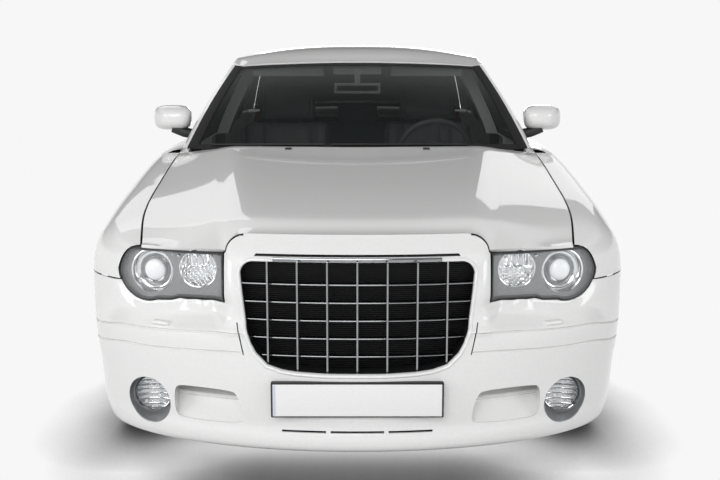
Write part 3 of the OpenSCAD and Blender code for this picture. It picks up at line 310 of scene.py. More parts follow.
def pressing(name, grids, thick):
    """Sheet of even thickness under one or more grids, welded along shared edges."""
    bm = bmesh.new()
    for grid in grids:
        vs = [[bm.verts.new(metres(p)) for p in row] for row in grid]
        for i in range(len(vs) - 1):
            for j in range(len(vs[0]) - 1):
                bm.faces.new((vs[i][j], vs[i + 1][j], vs[i + 1][j + 1], vs[i][j + 1]))
    bmesh.ops.remove_doubles(bm, verts=bm.verts, dist=WELD)
    bm.normal_update()
    bm.verts.index_update()
    n = len(bm.verts)
    verts = [v.co.copy() for v in bm.verts] + [v.co - v.normal * (thick / MM) for v in bm.verts]
    faces = [[v.index for v in f.verts] for f in bm.faces]
    faces += [[i + n for i in reversed(f)] for f in faces]
    for e in bm.edges:
        if len(e.link_loops) == 1:
            a, b = e.link_loops[0].vert.index, e.link_loops[0].link_loop_next.vert.index
            faces.append([b, a, a + n, b + n])
    bm.free()
    return form(name, verts, faces, scale=False)


def between(name, top, under):
    """Solid between two grids of one size."""
    n, m = len(top), len(top[0])
    verts = [p for row in top for p in row] + [p for row in under for p in row]
    k = n * m
    faces = []
    for a, b, c, d in grid_faces(n, m):
        faces += [(a, b, c, d), (a + k, d + k, c + k, b + k)]
    rim = [i * m for i in range(n)] + [(n - 1) * m + j for j in range(1, m)]
    rim += [i * m + m - 1 for i in range(n - 2, -1, -1)] + list(range(m - 2, 0, -1))
    for a, b in zip(rim, rim[1:] + rim[:1]):
        faces.append((b, a, a + k, b + k))
    return form(name, verts, faces)


def area_of(outline):
    return sum(p[0] * q[1] - q[0] * p[1] for p, q in zip(outline, outline[1:] + outline[:1])) / 2


def grown(outline, d):
    """Outline moved outward by d, with mitred corners."""
    pts = [Vector(p) for p in (outline if area_of(outline) > 0 else outline[::-1])]
    out = []
    for a, b, c in zip(pts[-1:] + pts[:-1], pts, pts[1:] + pts[:1]):
        u, v = (b - a).normalized(), (c - b).normalized()
        m = Vector((u.y + v.y, -u.x - v.x))
        m.normalize()
        out.append(tuple(b + m * (d / max(0.35, m.dot(Vector((u.y, -u.x)))))))
    return out


def prism(outline, axis, lo, hi):
    """Cutting tool: an outline of station and height along x, or of half width and height along the car."""
    pts = outline if area_of(outline) > 0 else outline[::-1]
    n = len(pts)
    place = (lambda p, d: (d, p[0], p[1])) if axis == "x" else (lambda p, d: (p[0], d, p[1]))
    verts = [place(p, lo) for p in pts] + [place(p, hi) for p in pts]
    faces = [list(range(n))[::-1], list(range(n, 2 * n))]
    faces += [[i, (i + 1) % n, (i + 1) % n + n, i + n] for i in range(n)]
    if axis == "s":
        faces = [f[::-1] for f in faces]
    return form("tool", verts, faces)


def drum(axis, a, z, r, lo, hi, n=96):
    turns = [math.tau * i / n for i in range(n)]
    return prism([(a + r * math.cos(t), z + r * math.sin(t)) for t in turns], axis, lo, hi)


def arch_cut(axle):
    return drum("x", axle, TYRE_R, ARCH_R, -FAR, FAR, 144)


def slab(x0, x1, s0, s1, z0, z1):
    return prism([(x0, z0), (x1, z0), (x1, z1), (x0, z1)], "s", s0, s1)


def carve(piece, *tools, mode="DIFFERENCE", folded=False):
    """folded is for a sheet whose inside crosses itself at a tight bend."""
    for tool in tools:
        cut = piece.modifiers.new("cut", "BOOLEAN")
        cut.object, cut.operation, cut.solver, cut.use_self = tool, mode, "EXACT", folded
    old = piece.data
    done = bpy.data.meshes.new_from_object(piece.evaluated_get(bpy.context.evaluated_depsgraph_get()))
    piece.modifiers.clear()
    piece.data = done
    bpy.data.meshes.remove(old)
    for tool in tools:
        bpy.data.objects.remove(tool)
    return piece


def joined(name, pieces):
    bm = bmesh.new()
    for p in pieces:
        bm.from_mesh(p.data)
        bpy.data.objects.remove(p)
    mesh = bpy.data.meshes.new(name)
    bm.to_mesh(mesh)
    bm.free()
    piece = bpy.data.objects.new(name, mesh)
    scene.collection.objects.link(piece)
    return piece


def set_at(piece, at, angle, axis):
    """Turns a piece made at the zero point and carries it to a place."""
    away = Matrix.Translation(metres(at)) @ Matrix.Rotation(angle, 4, axis)
    piece.data.transform(away @ Matrix.Translation(-metres((0, 0, 0))))
    return piece


def turned(name, matrix, piece):
    piece.data.transform(matrix)
    if matrix.determinant() < 0:
        piece.data.flip_normals()
    piece.name = name
    return piece


def other_side(piece, name):
    twin = bpy.data.objects.new(name, piece.data.copy())
    scene.collection.objects.link(twin)
    return turned(name, Matrix.Scale(-1, 4, (1, 0, 0)), twin)


def lathe(name, profile, centre, axis="x", n=96, caps=False):
    """Turned piece: profile of (distance along the axis, radius)."""
    x, s, z = centre
    verts = []
    for i in range(n):
        c, d = math.cos(math.tau * i / n), math.sin(math.tau * i / n)
        for a, r in profile:
            verts.append((x + a, s + r * c, z + r * d) if axis == "x" else (x + r * d, s + a, z + r * c))
    return faced_outward(form(name, verts, turned_faces(n, len(profile), caps)), TIP_WELD)


def sweep(name, path, section, up=(0, 0, 1), closed=False):
    """Section of (across, up) offsets carried along a path of points."""
    n, m = len(path), len(section)
    verts = []
    for i, p in enumerate(path):
        a = Vector(path[(i - 1) % n] if closed or i else path[0])
        b = Vector(path[(i + 1) % n] if closed or i < n - 1 else path[-1])
        along = (b - a).normalized()
        side = along.cross(Vector(up)).normalized()
        rise = side.cross(along)
        for u, v in section:
            verts.append(tuple(Vector(p) + side * u + rise * v))
    faces = ring_faces(n, m, closed)
    if not closed:
        faces += [list(range(m))[::-1], list(range((n - 1) * m, n * m))]
    return faced_outward(form(name, verts, faces))


def round_section(w, h, n=16, power=2.0):
    """Ellipse of a width and height; a higher power makes it squarer."""
    def bulge(k):
        return math.copysign(abs(k) ** (2 / power), k)
    turns = [math.tau * i / n for i in range(n)]
    return [(bulge(math.cos(a)) * w / 2, bulge(math.sin(a)) * h / 2) for a in turns]


def soft_block(name, x0, x1, s0, s1, z0, z1, radius=12):
    """Block with rounded edges."""
    piece = slab(x0, x1, s0, s1, z0, z1)
    bm = bmesh.new()
    bm.from_mesh(piece.data)
    bmesh.ops.bevel(bm, geom=bm.edges[:] + bm.verts[:], offset=radius / MM, segments=4, profile=0.5,
                    affect="EDGES")
    bm.to_mesh(piece.data)
    bm.free()
    piece.name = name
    return piece


def fit(piece, material, body="body", sharp=32, stands_for=()):
    piece.data.materials.clear()
    piece.data.materials.append(material)
    for p in piece.data.polygons:
        p.use_smooth = True
    piece.data.set_sharp_from_angle(angle=math.radians(sharp))
    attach(piece, body)
    if stands_for:
        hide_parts(*stands_for)
    return piece


def fit_pair(piece, right_name, material, right_for=(), left_for=()):
    """Fits a left piece and its mirror image to the body."""
    fit(other_side(piece, right_name), material, stands_for=right_for)
    fit(piece, material, stands_for=left_for)


def both_sides(piece):
    """Names a piece _l, makes its mirror image _r, and says which side each is on."""
    base = piece.name.split(".")[0]
    twin = other_side(piece, base + "_r")
    piece.name = base + "_l"
    return ((piece, "left"), (twin, "right"))


# Materials
def srgb(code):
    parts = [int(code[i:i + 2], 16) / 255 for i in (1, 3, 5)]
    return tuple(c / 12.92 if c <= 0.04045 else ((c + 0.055) / 1.055) ** 2.4 for c in parts) + (1.0,)


def add(tree, kind, at=None, **settings):
    """Adds a node with its settings; at gives its inputs, as values or as outputs to link."""
    node = tree.nodes.new(kind)
    for key, value in settings.items():
        setattr(node, key, value)
    for key, value in (at or {}).items():
        if isinstance(value, bpy.types.NodeSocket):
            tree.links.new(value, node.inputs[key])
        else:
            node.inputs[key].default_value = value
    return node


def finish(name, light, dark, grain_mm, bump, rough=(0.4, 0.5), height_mm=0.05, detail=3.0, **sockets):
    """Surface whose colour and roughness wander between two values at a grain size, with a fine relief."""
    material = bpy.data.materials.new(name)
    material.use_nodes = True
    tree = material.node_tree
    tree.nodes.clear()
    place = add(tree, "ShaderNodeTexCoord").outputs["Object"]
    grain = add(tree, "ShaderNodeTexNoise",
                {"Vector": place, "Scale": MM / grain_mm, "Detail": detail, "Roughness": 0.6})
    tone = add(tree, "ShaderNodeValToRGB", {"Fac": grain.outputs["Fac"]})
    tone.color_ramp.elements[0].position, tone.color_ramp.elements[1].position = 0.3, 0.7
    tone.color_ramp.elements[0].color, tone.color_ramp.elements[1].color = srgb(dark), srgb(light)
    spread = add(tree, "ShaderNodeMapRange",
                 {"Value": grain.outputs["Fac"], "To Min": rough[0], "To Max": rough[1]})
    relief = add(tree, "ShaderNodeBump",
                 {"Height": grain.outputs["Fac"], "Strength": bump, "Distance": height_mm / MM})
    shader = add(tree, "ShaderNodeBsdfPrincipled",
                 {"Base Color": tone.outputs["Color"], "Roughness": spread.outputs["Result"],
                                                    "Normal": relief.outputs["Normal"], **sockets})
    add(tree, "ShaderNodeOutputMaterial", {"Surface": shader.outputs["BSDF"]})
    return material


# White enamel under clear lacquer, sprayed and baked: bright and glossy, with its faint orange peel drawn
# at 9 mm to show
enamel = finish("white_enamel", "#efefee", "#ececec", 9, 0.03, (0.32, 0.38), 0.03, 1.0,
                **{"Coat Weight": 1.0, "Coat Roughness": 0.03, "Coat IOR": 1.5, "IOR": 1.5})
# Chromium plate on steel: hard bright mirror with faint wiping marks
chrome = finish("chromium_plate", "#a6a8aa", "#949698", 30, 0.02, (0.05, 0.1), 0.02, **{"Metallic": 1.0})
# Vacuum-aluminised reflector: soft bright metal with slight unevenness
aluminised = finish("aluminised_reflector", "#f4f5f6", "#e8eaec", 8, 0.12, (0.08, 0.16), 0.2,
                    **{"Metallic": 1.0})
# Cast aluminium wheel, turned and lacquered: satin bright with cast grain
alloy = finish("cast_aluminium", "#c4c7ca", "#b2b5b9", 4, 0.1, (0.26, 0.36), 0.08, **{"Metallic": 1.0})
# Turned grey-iron brake disc: fine turning marks and a dull ring of wear
disc_iron = finish("turned_iron", "#8b8c8e", "#6f7072", 3, 0.2, (0.32, 0.5), 0.1, **{"Metallic": 1.0})
# Moulded black ABS with a fine spark-eroded grain: dark and matt
abs_black = finish("black_abs", "#1d1e20", "#151617", 1.6, 0.25, (0.42, 0.58), 0.06, **{"IOR": 1.54})
# Moulded ABS, polished tool: dark and glossy
abs_gloss = finish("gloss_abs", "#242527", "#1c1d1f", 20, 0.03, (0.14, 0.22), 0.05, **{"IOR": 1.54})
# Metallised grey polycarbonate of the lamp bezels, satin
bezel_grey = finish("satin_bezel", "#8c8e90", "#808285", 12, 0.04, (0.34, 0.44), 0.05, **{"Metallic": 0.15})
# Extruded rubber: dull black with a slight bloom
rubber = finish("extruded_rubber", "#1b1b1b", "#131313", 5, 0.2, (0.6, 0.75), 0.1, **{"IOR": 1.52})
# Moulded tyre rubber: dull, dusty in the grain
tyre_rubber = finish("tyre_rubber", "#26262a", "#18181a", 7, 0.3, (0.7, 0.9), 0.25, **{"IOR": 1.52})
# Dyed cow leather, embossed: pebbled grain drawn at 5 mm to show, with a low sheen
leather = finish("grey_leather", "#6c7070", "#565959", 5, 0.45, (0.42, 0.6), 0.35, 4.0,
                 **{"IOR": 1.5, "Sheen Weight": 0.15, "Sheen Roughness": 0.5})
# Needle-felt carpet: soft fibre clumps
carpet = finish("needle_felt", "#26272a", "#16171a", 3, 0.8, (0.9, 1.0), 0.8, **{"Sheen Weight": 0.4})
# Knitted headlining cloth: dark grey, matt
lining_cloth = finish("knitted_lining", "#4c4e4e", "#3f4141", 2.5, 0.4, (0.85, 0.95), 0.2,
                      **{"Sheen Weight": 0.3})
# Satin stone-chip paint on chassis parts: dark and slightly orange-peeled
chassis_paint = finish("chassis_paint", "#2c2d2f", "#1f2022", 6, 0.35, (0.45, 0.6), 0.2, **{"IOR": 1.5})
# Sand-cast aluminium of the engine block: rough grey
cast_block = finish("sand_casting", "#7a7c7e", "#626466", 2.5, 0.5, (0.5, 0.65), 0.3, **{"Metallic": 0.8})
# Stainless steel tube, brushed: bright grey with fine marks
stainless = finish("stainless_tube", "#b9bbbd", "#a4a6a9", 3, 0.15, (0.2, 0.32), 0.08, **{"Metallic": 1.0})
# Retroreflective plate sheet: white, with its fine cell pattern drawn at 3 mm
plate_white = finish("reflective_sheet", "#f4f4f4", "#eeeeee", 3, 0.1, (0.28, 0.36), 0.03,
                     **{"IOR": 1.5, "Coat Weight": 0.3})
# Printed strip at the plate's end: very pale blue
plate_blue = finish("printed_strip", "#d3d9ea", "#cbd2e6", 3, 0.1, (0.3, 0.4), 0.03, **{"IOR": 1.5})
# Moulded red acrylic: clear skin over a prismatic back
acrylic_red = finish("red_acrylic", "#a8161c", "#7a0d12", 12, 0.3, (0.08, 0.14), 0.6,
                     **{"IOR": 1.49, "Coat Weight": 0.8, "Coat Roughness": 0.02})
# Silvered mirror glass: a clean, clear mirror
silvering = finish("silvered_glass", "#d9dcdd", "#d2d5d7", 60, 0.0, (0.01, 0.03), 0.01, **{"Metallic": 1.0})
# Anodised aluminium fins behind the grille: dull black
fin_black = finish("dark_fins", "#141516", "#0d0e0f", 4, 0.2, (0.45, 0.6), 0.1, **{"IOR": 1.5})
# Moulded grey ABS of the roof console and mirror: matt, finely grained
abs_grey = finish("grey_abs", "#7d8080", "#6f7272", 1.6, 0.25, (0.45, 0.6), 0.06, **{"IOR": 1.54})
# Pressed lens glass of the projector, lit a little from its bowl: pale, with a wet gloss and a faint glow
lens_glass = finish("lens_glass", "#f6f8fa", "#eef1f4", 20, 0.0, (0.05, 0.1), 0.01,
                    **{"IOR": 1.5, "Coat Weight": 1.0, "Coat Roughness": 0.02,
                       "Emission Color": srgb("#f4f6f8"), "Emission Strength": 0.25})
# Tinted float glass: grey-green body seen through, sharp reflections, a trace of dust
tinted = finish("tinted_float_glass", "#2c3131", "#262b2b", 400, 0.0, (0.0, 0.02), 0.01,
                **{"IOR": 1.5, "Alpha": 0.3})
# Privacy glass of the doors and rear window: nearly black body, sharp reflections
privacy = finish("privacy_glass", "#0d1010", "#0a0c0c", 400, 0.0, (0.0, 0.02), 0.01,
                 **{"IOR": 1.5, "Alpha": 0.92})
# Hard-coated clear polycarbonate lamp cover: almost unseen but for its gloss
clear_cover = finish("clear_polycarbonate", "#e6e8ea", "#dfe1e3", 200, 0.0, (0.0, 0.02), 0.01,
                     **{"IOR": 1.58, "Alpha": 0.1})


# Bonnet and front cover
bonnet_vs = [0, 0.006, 0.014, 0.024, 0.036, 0.05, 0.066, 0.085, 0.105, 0.13] + steps(0.16, 1, 40)
bonnet = pressing("bonnet_panel", [[[bonnet_point(q, v) for v in bonnet_vs] for q in steps(-1, 1, 96)]], 10)
fit(bonnet, enamel, "bonnet", stands_for=["bonnet"])

LAMP_IN, LAMP_X, LAMP_Z, LAMP_R = GRILLE_HALF + 54, HALF_W - 262, 736, 97


def arc(cx, cz, r, a0, a1, n):
    turns = [math.radians(a) for a in steps(a0, a1, n)]
    return [(cx + r * math.cos(a), cz + r * math.sin(a)) for a in turns]


def mirrored(outline):
    return [(-p[0], p[1]) for p in outline]


def rounded(outline, times=3, cut=0.25):
    """Outline with its corners cut away softly."""
    for _ in range(times):
        out = []
        for a, b in zip(outline, outline[1:] + outline[:1]):
            out += [lerp(a, b, cut), lerp(a, b, 1 - cut)]
        outline = out
    return outline


lamp_outline = [(LAMP_IN, 660), (LAMP_IN + 3, 803), (716, 803), (731, 799), (744, 790), (755, 777),
                (764, 761), (771, 743)]
lamp_outline += arc(LAMP_X, LAMP_Z, LAMP_R, -3, -112, 24) + [(LAMP_X - 88, 650), (LAMP_X - 112, 658)]
seam_angle = math.degrees(math.asin((BUMPER_SEAM - LAMP_Z) / (LAMP_R + 5)))
lamp_floor = [(LAMP_IN - 5, 655), (LAMP_X - 112, 653), (LAMP_X - 88, 645)]
lamp_floor += arc(LAMP_X, LAMP_Z, LAMP_R + 5, -112, seam_angle, 20)
seam_edge = [(x, front_seam(x) - 6) for x in steps(GRILLE_HALF - 8, LAMP_IN - 4, 14)]
fascia_cut = [(GRILLE_HALF - 8, 920)] + seam_edge + lamp_floor + [(1100, BUMPER_SEAM), (1100, 920)]
# Columns: share of the grille's half width, share of its height
GRILLE_EDGE = [(0.986, 0.787), (0.942, 0.39), (0.906, 0.268), (0.859, 0.176), (0.76, 0.072), (0.635, 0.03),
               (0.505, 0.012), (0.25, 0)]
grille_side = arc(GRILLE_HALF - 40, GRILLE_HIGH - 40, 39, 90, 6, 8)
grille_side += [(GRILLE_HALF * x, lerp(GRILLE_LOW, GRILLE_HIGH, z)) for x, z in GRILLE_EDGE]
grille_outline = grille_side + mirrored(grille_side[::-1])
FOG_X, FOG_Z, FOG_R = HALF_W - 271, 322, 76
duct_outline = [(346, 284), (372, 392), (578, 394), (578, 282)]
strip_slit = [(372, 604), (368, 604), (347, 507), (351, 507)]
trim_slot = [(-318, 805), (318, 805), (312, 813), (-312, 813)]


def strip_fall(x, z):
    """How far the bumper strip drops towards the wheels."""
    fall = 12 * ease((abs(x) - 380) / 370) + 26 * ease((abs(x) - 740) / 160)
    return fall * ease((z - 400) / 90) * ease((BUMPER_SEAM - z) / 100)


def fascia_point(t, z):
    """Front cover: the nose with the two lines of its bumper strip and a chamfer under the lamps."""
    x, s, z = nose_point(t, z)
    a = math.pi / 2 * min(1, abs(t))
    line = ease((abs(x) - 346) / 12) * sum(8 * unit(1 - abs(z - k) / 4) for k in (571, 513))
    z -= strip_fall(x, z)
    if 590 < z < BUMPER_SEAM + 20 and LAMP_IN - 40 < abs(x) < LAMP_X + 150:
        line += 12 * unit(1 - min(math.dist((abs(x), z), p) for p in lamp_rim) / 26)
    return (x - math.copysign(line * math.sin(a), x), s + line * math.cos(a), z)


lamp_rim = [lerp(a, b, q) for a, b in zip(lamp_floor, lamp_floor[1:]) for q in (0, 0.34, 0.67)]
bumper_ts = steps(-1.2, -0.98, 10) + steps(-0.96, 0.96, 152) + steps(0.98, 1.2, 10)
bumper_zs = [196, 200, 205, 211, 218, 228, 240, 252, 262, 276] + steps(290, 500, 16)
bumper_zs += [505, 509, 513, 517, 521, 532, 546, 558, 563, 567, 571, 575, 579, 584]
bumper_zs += list(range(590, 657, 6)) + steps(664, BONNET_HIGH, 18)
fascia = pressing("front_bumper_cover", [[[fascia_point(t, z) for z in bumper_zs] for t in bumper_ts]], 7)
duct_hole = rounded(rounded(duct_outline, 1, 0.12), 2)
low_slot = [(96, 268), (232, 268), (232, 275), (96, 275)]
tools = [prism(grille_outline, "s", TOOL_FRONT, TOOL_BACK), slab(-82, 82, -50, 120, 268, 275),
         prism(trim_slot, "s", TOOL_FRONT, TOOL_BACK)]
for side in (list, mirrored):
    tools += [prism(side(fascia_cut), "s", TOOL_FRONT, FRONT_AXLE),
              prism(side(duct_hole), "s", TOOL_FRONT, TOOL_BACK),
              prism(side(low_slot), "s", -50, 120), prism(side(strip_slit), "s", TOOL_FRONT, 120),
              drum("s", side([(FOG_X, 0)])[0][0], FOG_Z, FOG_R, TOOL_FRONT, 500)]
carve(fascia, arch_cut(FRONT_AXLE), joined("tool", tools), folded=True)
fit(fascia, enamel, stands_for=["front_bumper"])

# Brake ducts: a shallow dish with a deep top wall and one moulded step
# Columns: share of the way down, depth behind the face
DUCT_FALL = [(0.0, 7), (0.03, 118), (0.3, 112), (0.37, 66), (0.43, 58), (0.49, 72), (0.56, 70), (0.74, 46),
             (0.92, 16), (1.0, 7)]
duct_rim = grown(duct_outline, 5)
duct_low, duct_high, duct_far, duct_foot = [min(duct_rim, key=lambda p: math.dist(p, q))
                                            for q in duct_outline]
duct_rows = []
for u in [0, 0.03] + steps(0.08, 0.92, 18) + [0.97, 1]:
    row = []
    for v, depth in DUCT_FALL:
        x, z = lerp(lerp(duct_high, duct_far, u), lerp(duct_low, duct_foot, u), v)
        row.append((x, nose_at(x, z) + (7 if u in (0, 1) else depth), z))
    duct_rows.append(row[::-1])
duct = pressing("duct_left", [duct_rows], 4)
fit_pair(duct, "duct_right", enamel)


# Splash tray under the nose, with long swages
def tray_point(x, v):
    swage = 6 * unit(math.sin(x / 45 * math.pi)) * ease(v / 0.2) * ease((1 - v) / 0.2)
    return (x, lerp(nose_at(x, 205) + 12, 520, v), 206 + swage)


tray = [[tray_point(x, v) for x in steps(-560, 560, 112)] for v in steps(0, 1, 20)]
tray_top = [[(x, s, z + 4) for x, s, z in row] for row in tray]
fit(between("splash_tray", tray, tray_top), abs_black)

# Headlamp washer covers on the ledge
LEDGE_Z = 588
for name, sign in (("washer_cover_left", 1), ("washer_cover_right", -1)):
    path = [nose_point(sign * nose_turn(x, LEDGE_Z), LEDGE_Z) for x in steps(590, 642, 10)]
    pill = sweep(name, [(x, s - 1, z - 7) for x, s, z in path], round_section(26, 16, 20, 2.4))
    fit(pill, enamel)

# Fenders, quarter panels with their roof posts, rear cover and lid
upper_w = steps(0, 1, 30)
run = steps(FRONT_AXLE, DOOR_FRONT - GAP, 36)
fender = pressing("front_fender_l", [
    [[front_corner(t, w) for w in upper_w] for t in steps(FENDER_T, 1, 20)],
    [[side_point(s, w) for w in upper_w] for s in steps(FRONT_TURN, FRONT_AXLE, 26)],
    [[side_point(s, w) for w in upper_w] for s in run],
    [[side_point(s, w) for w in steps(-1, 0, 14)] for s in run]], SKIN)
carve(fender, arch_cut(FRONT_AXLE), slab(300, FAR, 0, FRONT_AXLE, 500, BUMPER_SEAM + 6),
      prism(grown(lamp_outline, 5), "s", -100, 700))
fit_pair(fender, "front_fender_r", enamel, ["front_fender_right"], ["front_fender_left"])

quarter_w = steps(-1, 0, 14) + upper_w[1:]
quarter = pressing("quarter_panel_l", [
    [[side_point(s, w) for w in quarter_w] for s in steps(REAR_AXLE - 420, REAR_TURN, 54)],
    [[(*rear_corner(t, 0)[:2], side_point(REAR_TURN, w)[2]) if w < 0 else rear_corner(t, w)
      for w in quarter_w]
     for t in steps(0, 0.42, 18)]], SKIN)
FRAME_TOP = RAIL_HEIGHT - 24
front_low, front_high = (DOOR_FRONT + 130, 1010), (HEADER + 150, FRAME_TOP)
rear_high, rear_low = (ROOF_REAR - 230, FRAME_TOP), (DOOR_REAR, edge_z(DOOR_REAR))


def rear_edge(z):
    return min(DOOR_REAR, REAR_AXLE - math.sqrt(max(0, (ARCH_R + 40) ** 2 - (z - TYRE_R) ** 2)))


quarter_cut = [(rear_edge(z) + GAP, z) for z in steps(200, 720, 24)]
quarter_cut += [(DOOR_REAR + GAP, rear_low[1] - 40), (DOOR_REAR + GAP, TOOL_TOP), (0, TOOL_TOP), (0, 200)]
carve(quarter, prism(quarter_cut, "x", 0, DOOR_TOOL), arch_cut(REAR_AXLE),
      slab(400, FAR, REAR_AXLE, TAIL + 100, 0, REAR_SEAM + 6),
      slab(400, FAR, TAIL - 232, TAIL + 100, 0, TOOL_TOP))
post_rows = []
for v in steps(0, 1, 24):
    door = lerp(rear_high, rear_low, v)
    door = (door[0] + GAP + 3, door[1])
    back = lerp((ROOF_REAR - 26, RAIL_HEIGHT - 8), (DECK - 90, edge_z(DECK - 90)), v)
    inner = rear_window_point(1, 1 - v)
    row = []
    for q in steps(0, 1, 12):
        s, z = lerp(door, back, q)
        z = lerp(z, edge_z(s) - 9, ease((v - 0.8) / 0.2))
        row.append((lerp(glass_x(s, z), edge_x(s) + 8, ease((v - 0.8) / 0.2)), s, z))
    last = row[-1]
    half = lerp(last, inner, 0.5)
    row += [(half[0] + 6, half[1], half[2] + 4), (inner[0] + 3, inner[1] + 1, inner[2] + 0.5)]
    post_rows.append(row)
rear_post = pressing("rear_post", [post_rows[::-1]], 30)
quarter = joined("quarter_panel_l", [quarter, rear_post])
fit_pair(quarter, "quarter_panel_r", enamel, ["quarter_right"], ["quarter_left"])

rear_ts = steps(1.33, 1.02, 14) + steps(1, -1, 120) + steps(-1.02, -1.33, 14)
rear_zs = [235, 239, 244, 250, 258, 270, 285] + steps(305, 600, 20)
rear_zs += [612, 624, 634, 642, 650, 658, 665, 672, 680, REAR_SEAM]
rear_cover = pressing("rear_bumper_cover", [[[tail_point(t, z) for z in rear_zs] for t in rear_ts]], 7)
carve(rear_cover, arch_cut(REAR_AXLE), slab(455, 585, TAIL - 260, TAIL + 50, 200, 268),
      slab(-585, -455, TAIL - 260, TAIL + 50, 200, 268), folded=True)
fit(rear_cover, enamel, stands_for=["rear_bumper"])


def lid_point(u, i):
    """Row i of the lid's table, between whole rows too."""
    k = min(int(i), len(LID) - 2)

    def row(j):
        s0, z0 = LID[j]
        top = 1 if j < 4 else 1 - (j - 3) / 3 if j < 6 else 0
        half = edge_x(min(s0, EDGE_REAR)) - GAP
        s = s0 - u * u * (40 * (s0 - DECK) / 760 if j < 4 else 46)
        drop = (z0 - edge_z(min(s, EDGE_REAR))) if top > 0 else ((z0 - 1062) * 0.6 + 18 if z0 > 1000 else 0)
        return (u * half, s, z0 - drop * abs(u) ** 2.4)
    return lerp(row(k), row(k + 1), i - k)


lid_rows = [[lid_point(u, i) for i in steps(0, len(LID) - 1, 54)] for u in steps(-1, 1, 72)]
lid = pressing("boot_lid_panel", [lid_rows], LID_SKIN)
fit(lid, enamel, "boot_lid", stands_for=["boot_lid"])


def raised(name, rows):
    """Trim on the tail: rows of (point on the panel, how far it stands proud)."""
    top = [[(x, s + d, z) for (x, s, z), d in row] for row in rows]
    return between(name, top, [[(x, s - 4, z) for (x, s, z), _ in row] for row in rows])


# Bright strip across the lid, red reflectors and a black valance on the rear cover
bead = ((0, 0), (0.2, 4), (0.5, 6), (0.8, 4), (1, 0))
rows = [[(lid_point(u, lerp(6.97, 6.82, q)), d) for q, d in bead] for u in steps(0.46, -0.46, 44)]
fit(raised("boot_trim", rows), chrome, "boot_lid")
for name, t0, t1 in (("rear_reflector_left", 0.36, 0.49), ("rear_reflector_right", -0.49, -0.36)):
    rows = [[(tail_point(t, lerp(312, 354, q)), d / 2) for q, d in bead] for t in steps(t1, t0, 16)]
    fit(raised(name, rows), acrylic_red)
rows = [[(tail_point(t, z), 3) for z in (240, 247, 254, 262, 274, 292)] for t in steps(0.3, -0.3, 40)]
fit(raised("rear_valance", rows), abs_black)


def roof_rail(side, s, k):
    """Edge of the roof rolled down over the door frames: k runs from 0 on the roof to 1 at the frame."""
    x, back, z = roof_point(side, s)
    low = min(z - 3, lerp(RAIL_HEIGHT - 17, RAIL_HEIGHT - 5, unit((back - ROOF_REAR + 238) / 240)))
    over_doors = ease((back - HEADER - 65) / 70) * (1 - ease((back - ROOF_REAR + 110) / 90))
    out, a = lerp(abs(x), glass_x(back, low) + 1, over_doors), k * math.pi / 2
    return (side * lerp(abs(x), out, math.sin(a)), back, lerp(z, low, 1 - math.cos(a)))


roof_s = steps(HEADER + 5, ROOF_REAR + 22, 64)
roof = pressing("roof_skin", [[[roof_rail(-1, s, k) for s in roof_s] for k in steps(1, 0.14, 6)]
                              + [[roof_point(u, s) for s in roof_s] for u in steps(-1, 1, 60)]
                              + [[roof_rail(1, s, k) for s in roof_s] for k in steps(0.14, 1, 6)]],
                LID_SKIN - 4)
fit(roof, enamel, stands_for=["roof_panel"])
lining_s = steps(HEADER + 40, ROOF_REAR - 20, 24)
lining_rows = [[(x, s, z - 22) for x, s, z in (roof_point(u, s) for s in lining_s)]
               for u in steps(-0.93, 0.93, 24)]
fit(pressing("headlining", [lining_rows], 3), lining_cloth)

# Windscreen posts, rubber and glass
# From the door to the glass: shift of the inside at the foot and at the head of the post
POST_DEPTH = [((-36, 0, 0), (-14, 0, 0)), ((-33, 4, -4), (-13, 3, -4)), ((-30, 8, -8), (-12, 6, -8)),
              ((-16, 6, -8), (-7, 5, -8)), ((-1.4, 4, -8), (-1.4, 4, -8))]
screen_post, post_inside = [], []
for v in steps(0, 1, 30):
    x, s, z = windscreen_point(1, v)
    at_glass = (x + 0.5, s, z + 0.1)
    s, z = lerp(front_low, front_high, v)
    at_door = (glass_x(s - 22, z - 2), s - 22, z - 2)
    x, s, z = lerp(at_glass, at_door, 0.5)
    crest = (x + 5, s - 4, z + 7)
    row = [at_door, lerp(at_door, crest, 0.5), crest, lerp(crest, at_glass, 0.5), at_glass]
    screen_post.append(row)
    post_inside.append([tuple(p + q for p, q in zip(a, lerp(*b, v))) for a, b in zip(row, POST_DEPTH)])
front_post = between("windscreen_post", screen_post, post_inside)


def side_grid(s0, s1, n, rows, depth=0.0, more=0.0):
    """Body side moved inward: depth is a share of the door's thickness, more is in millimetres."""
    out = []
    for s in steps(s0, s1, n):
        row = []
        for w in rows:
            x, _, z = side_point(s, w)
            row.append((x - depth * max(x - DOOR_INNER, FRAME_DEPTH) - more, s, z))
        out.append(row)
    return out


def layer(name, s0, s1, n, rows, outside, inside):
    """Solid that follows the body side between two depths."""
    return between(name, side_grid(s0, s1, n, rows, *outside), side_grid(s0, s1, n, rows, *inside))


centre_w = steps(-1, 1, 30) + steps(1.1, 1.96, 10)
foot_s = (DOOR_FRONT + 96, DOOR_FRONT + 108)
posts = [front_post,
         layer("hinge_post", DOOR_FRONT - 50, DOOR_FRONT + 120, 4, steps(-1, 0.62, 24), (1, 10), (1, 80)),
         soft_block("foot", 750, 775, *foot_s, 920, 985, 3),
         soft_block("foot", 746, 760, *foot_s, 978, 1012, 3),
         layer("centre_post", DOOR_SPLIT - 70, DOOR_SPLIT + 70, 4, centre_w, (1, 10), (1, 70))]
posts += [soft_block("leaf", DOOR_INNER - 30, DOOR_INNER - 0.3, s, s + 30, z, z + 60, 3)
          for s in (DOOR_FRONT + 78, DOOR_SPLIT + 28) for z in (410, 760)]
posts = joined("door_posts_l", posts)
fit_pair(posts, "door_posts_r", enamel, left_for=["pillars"])


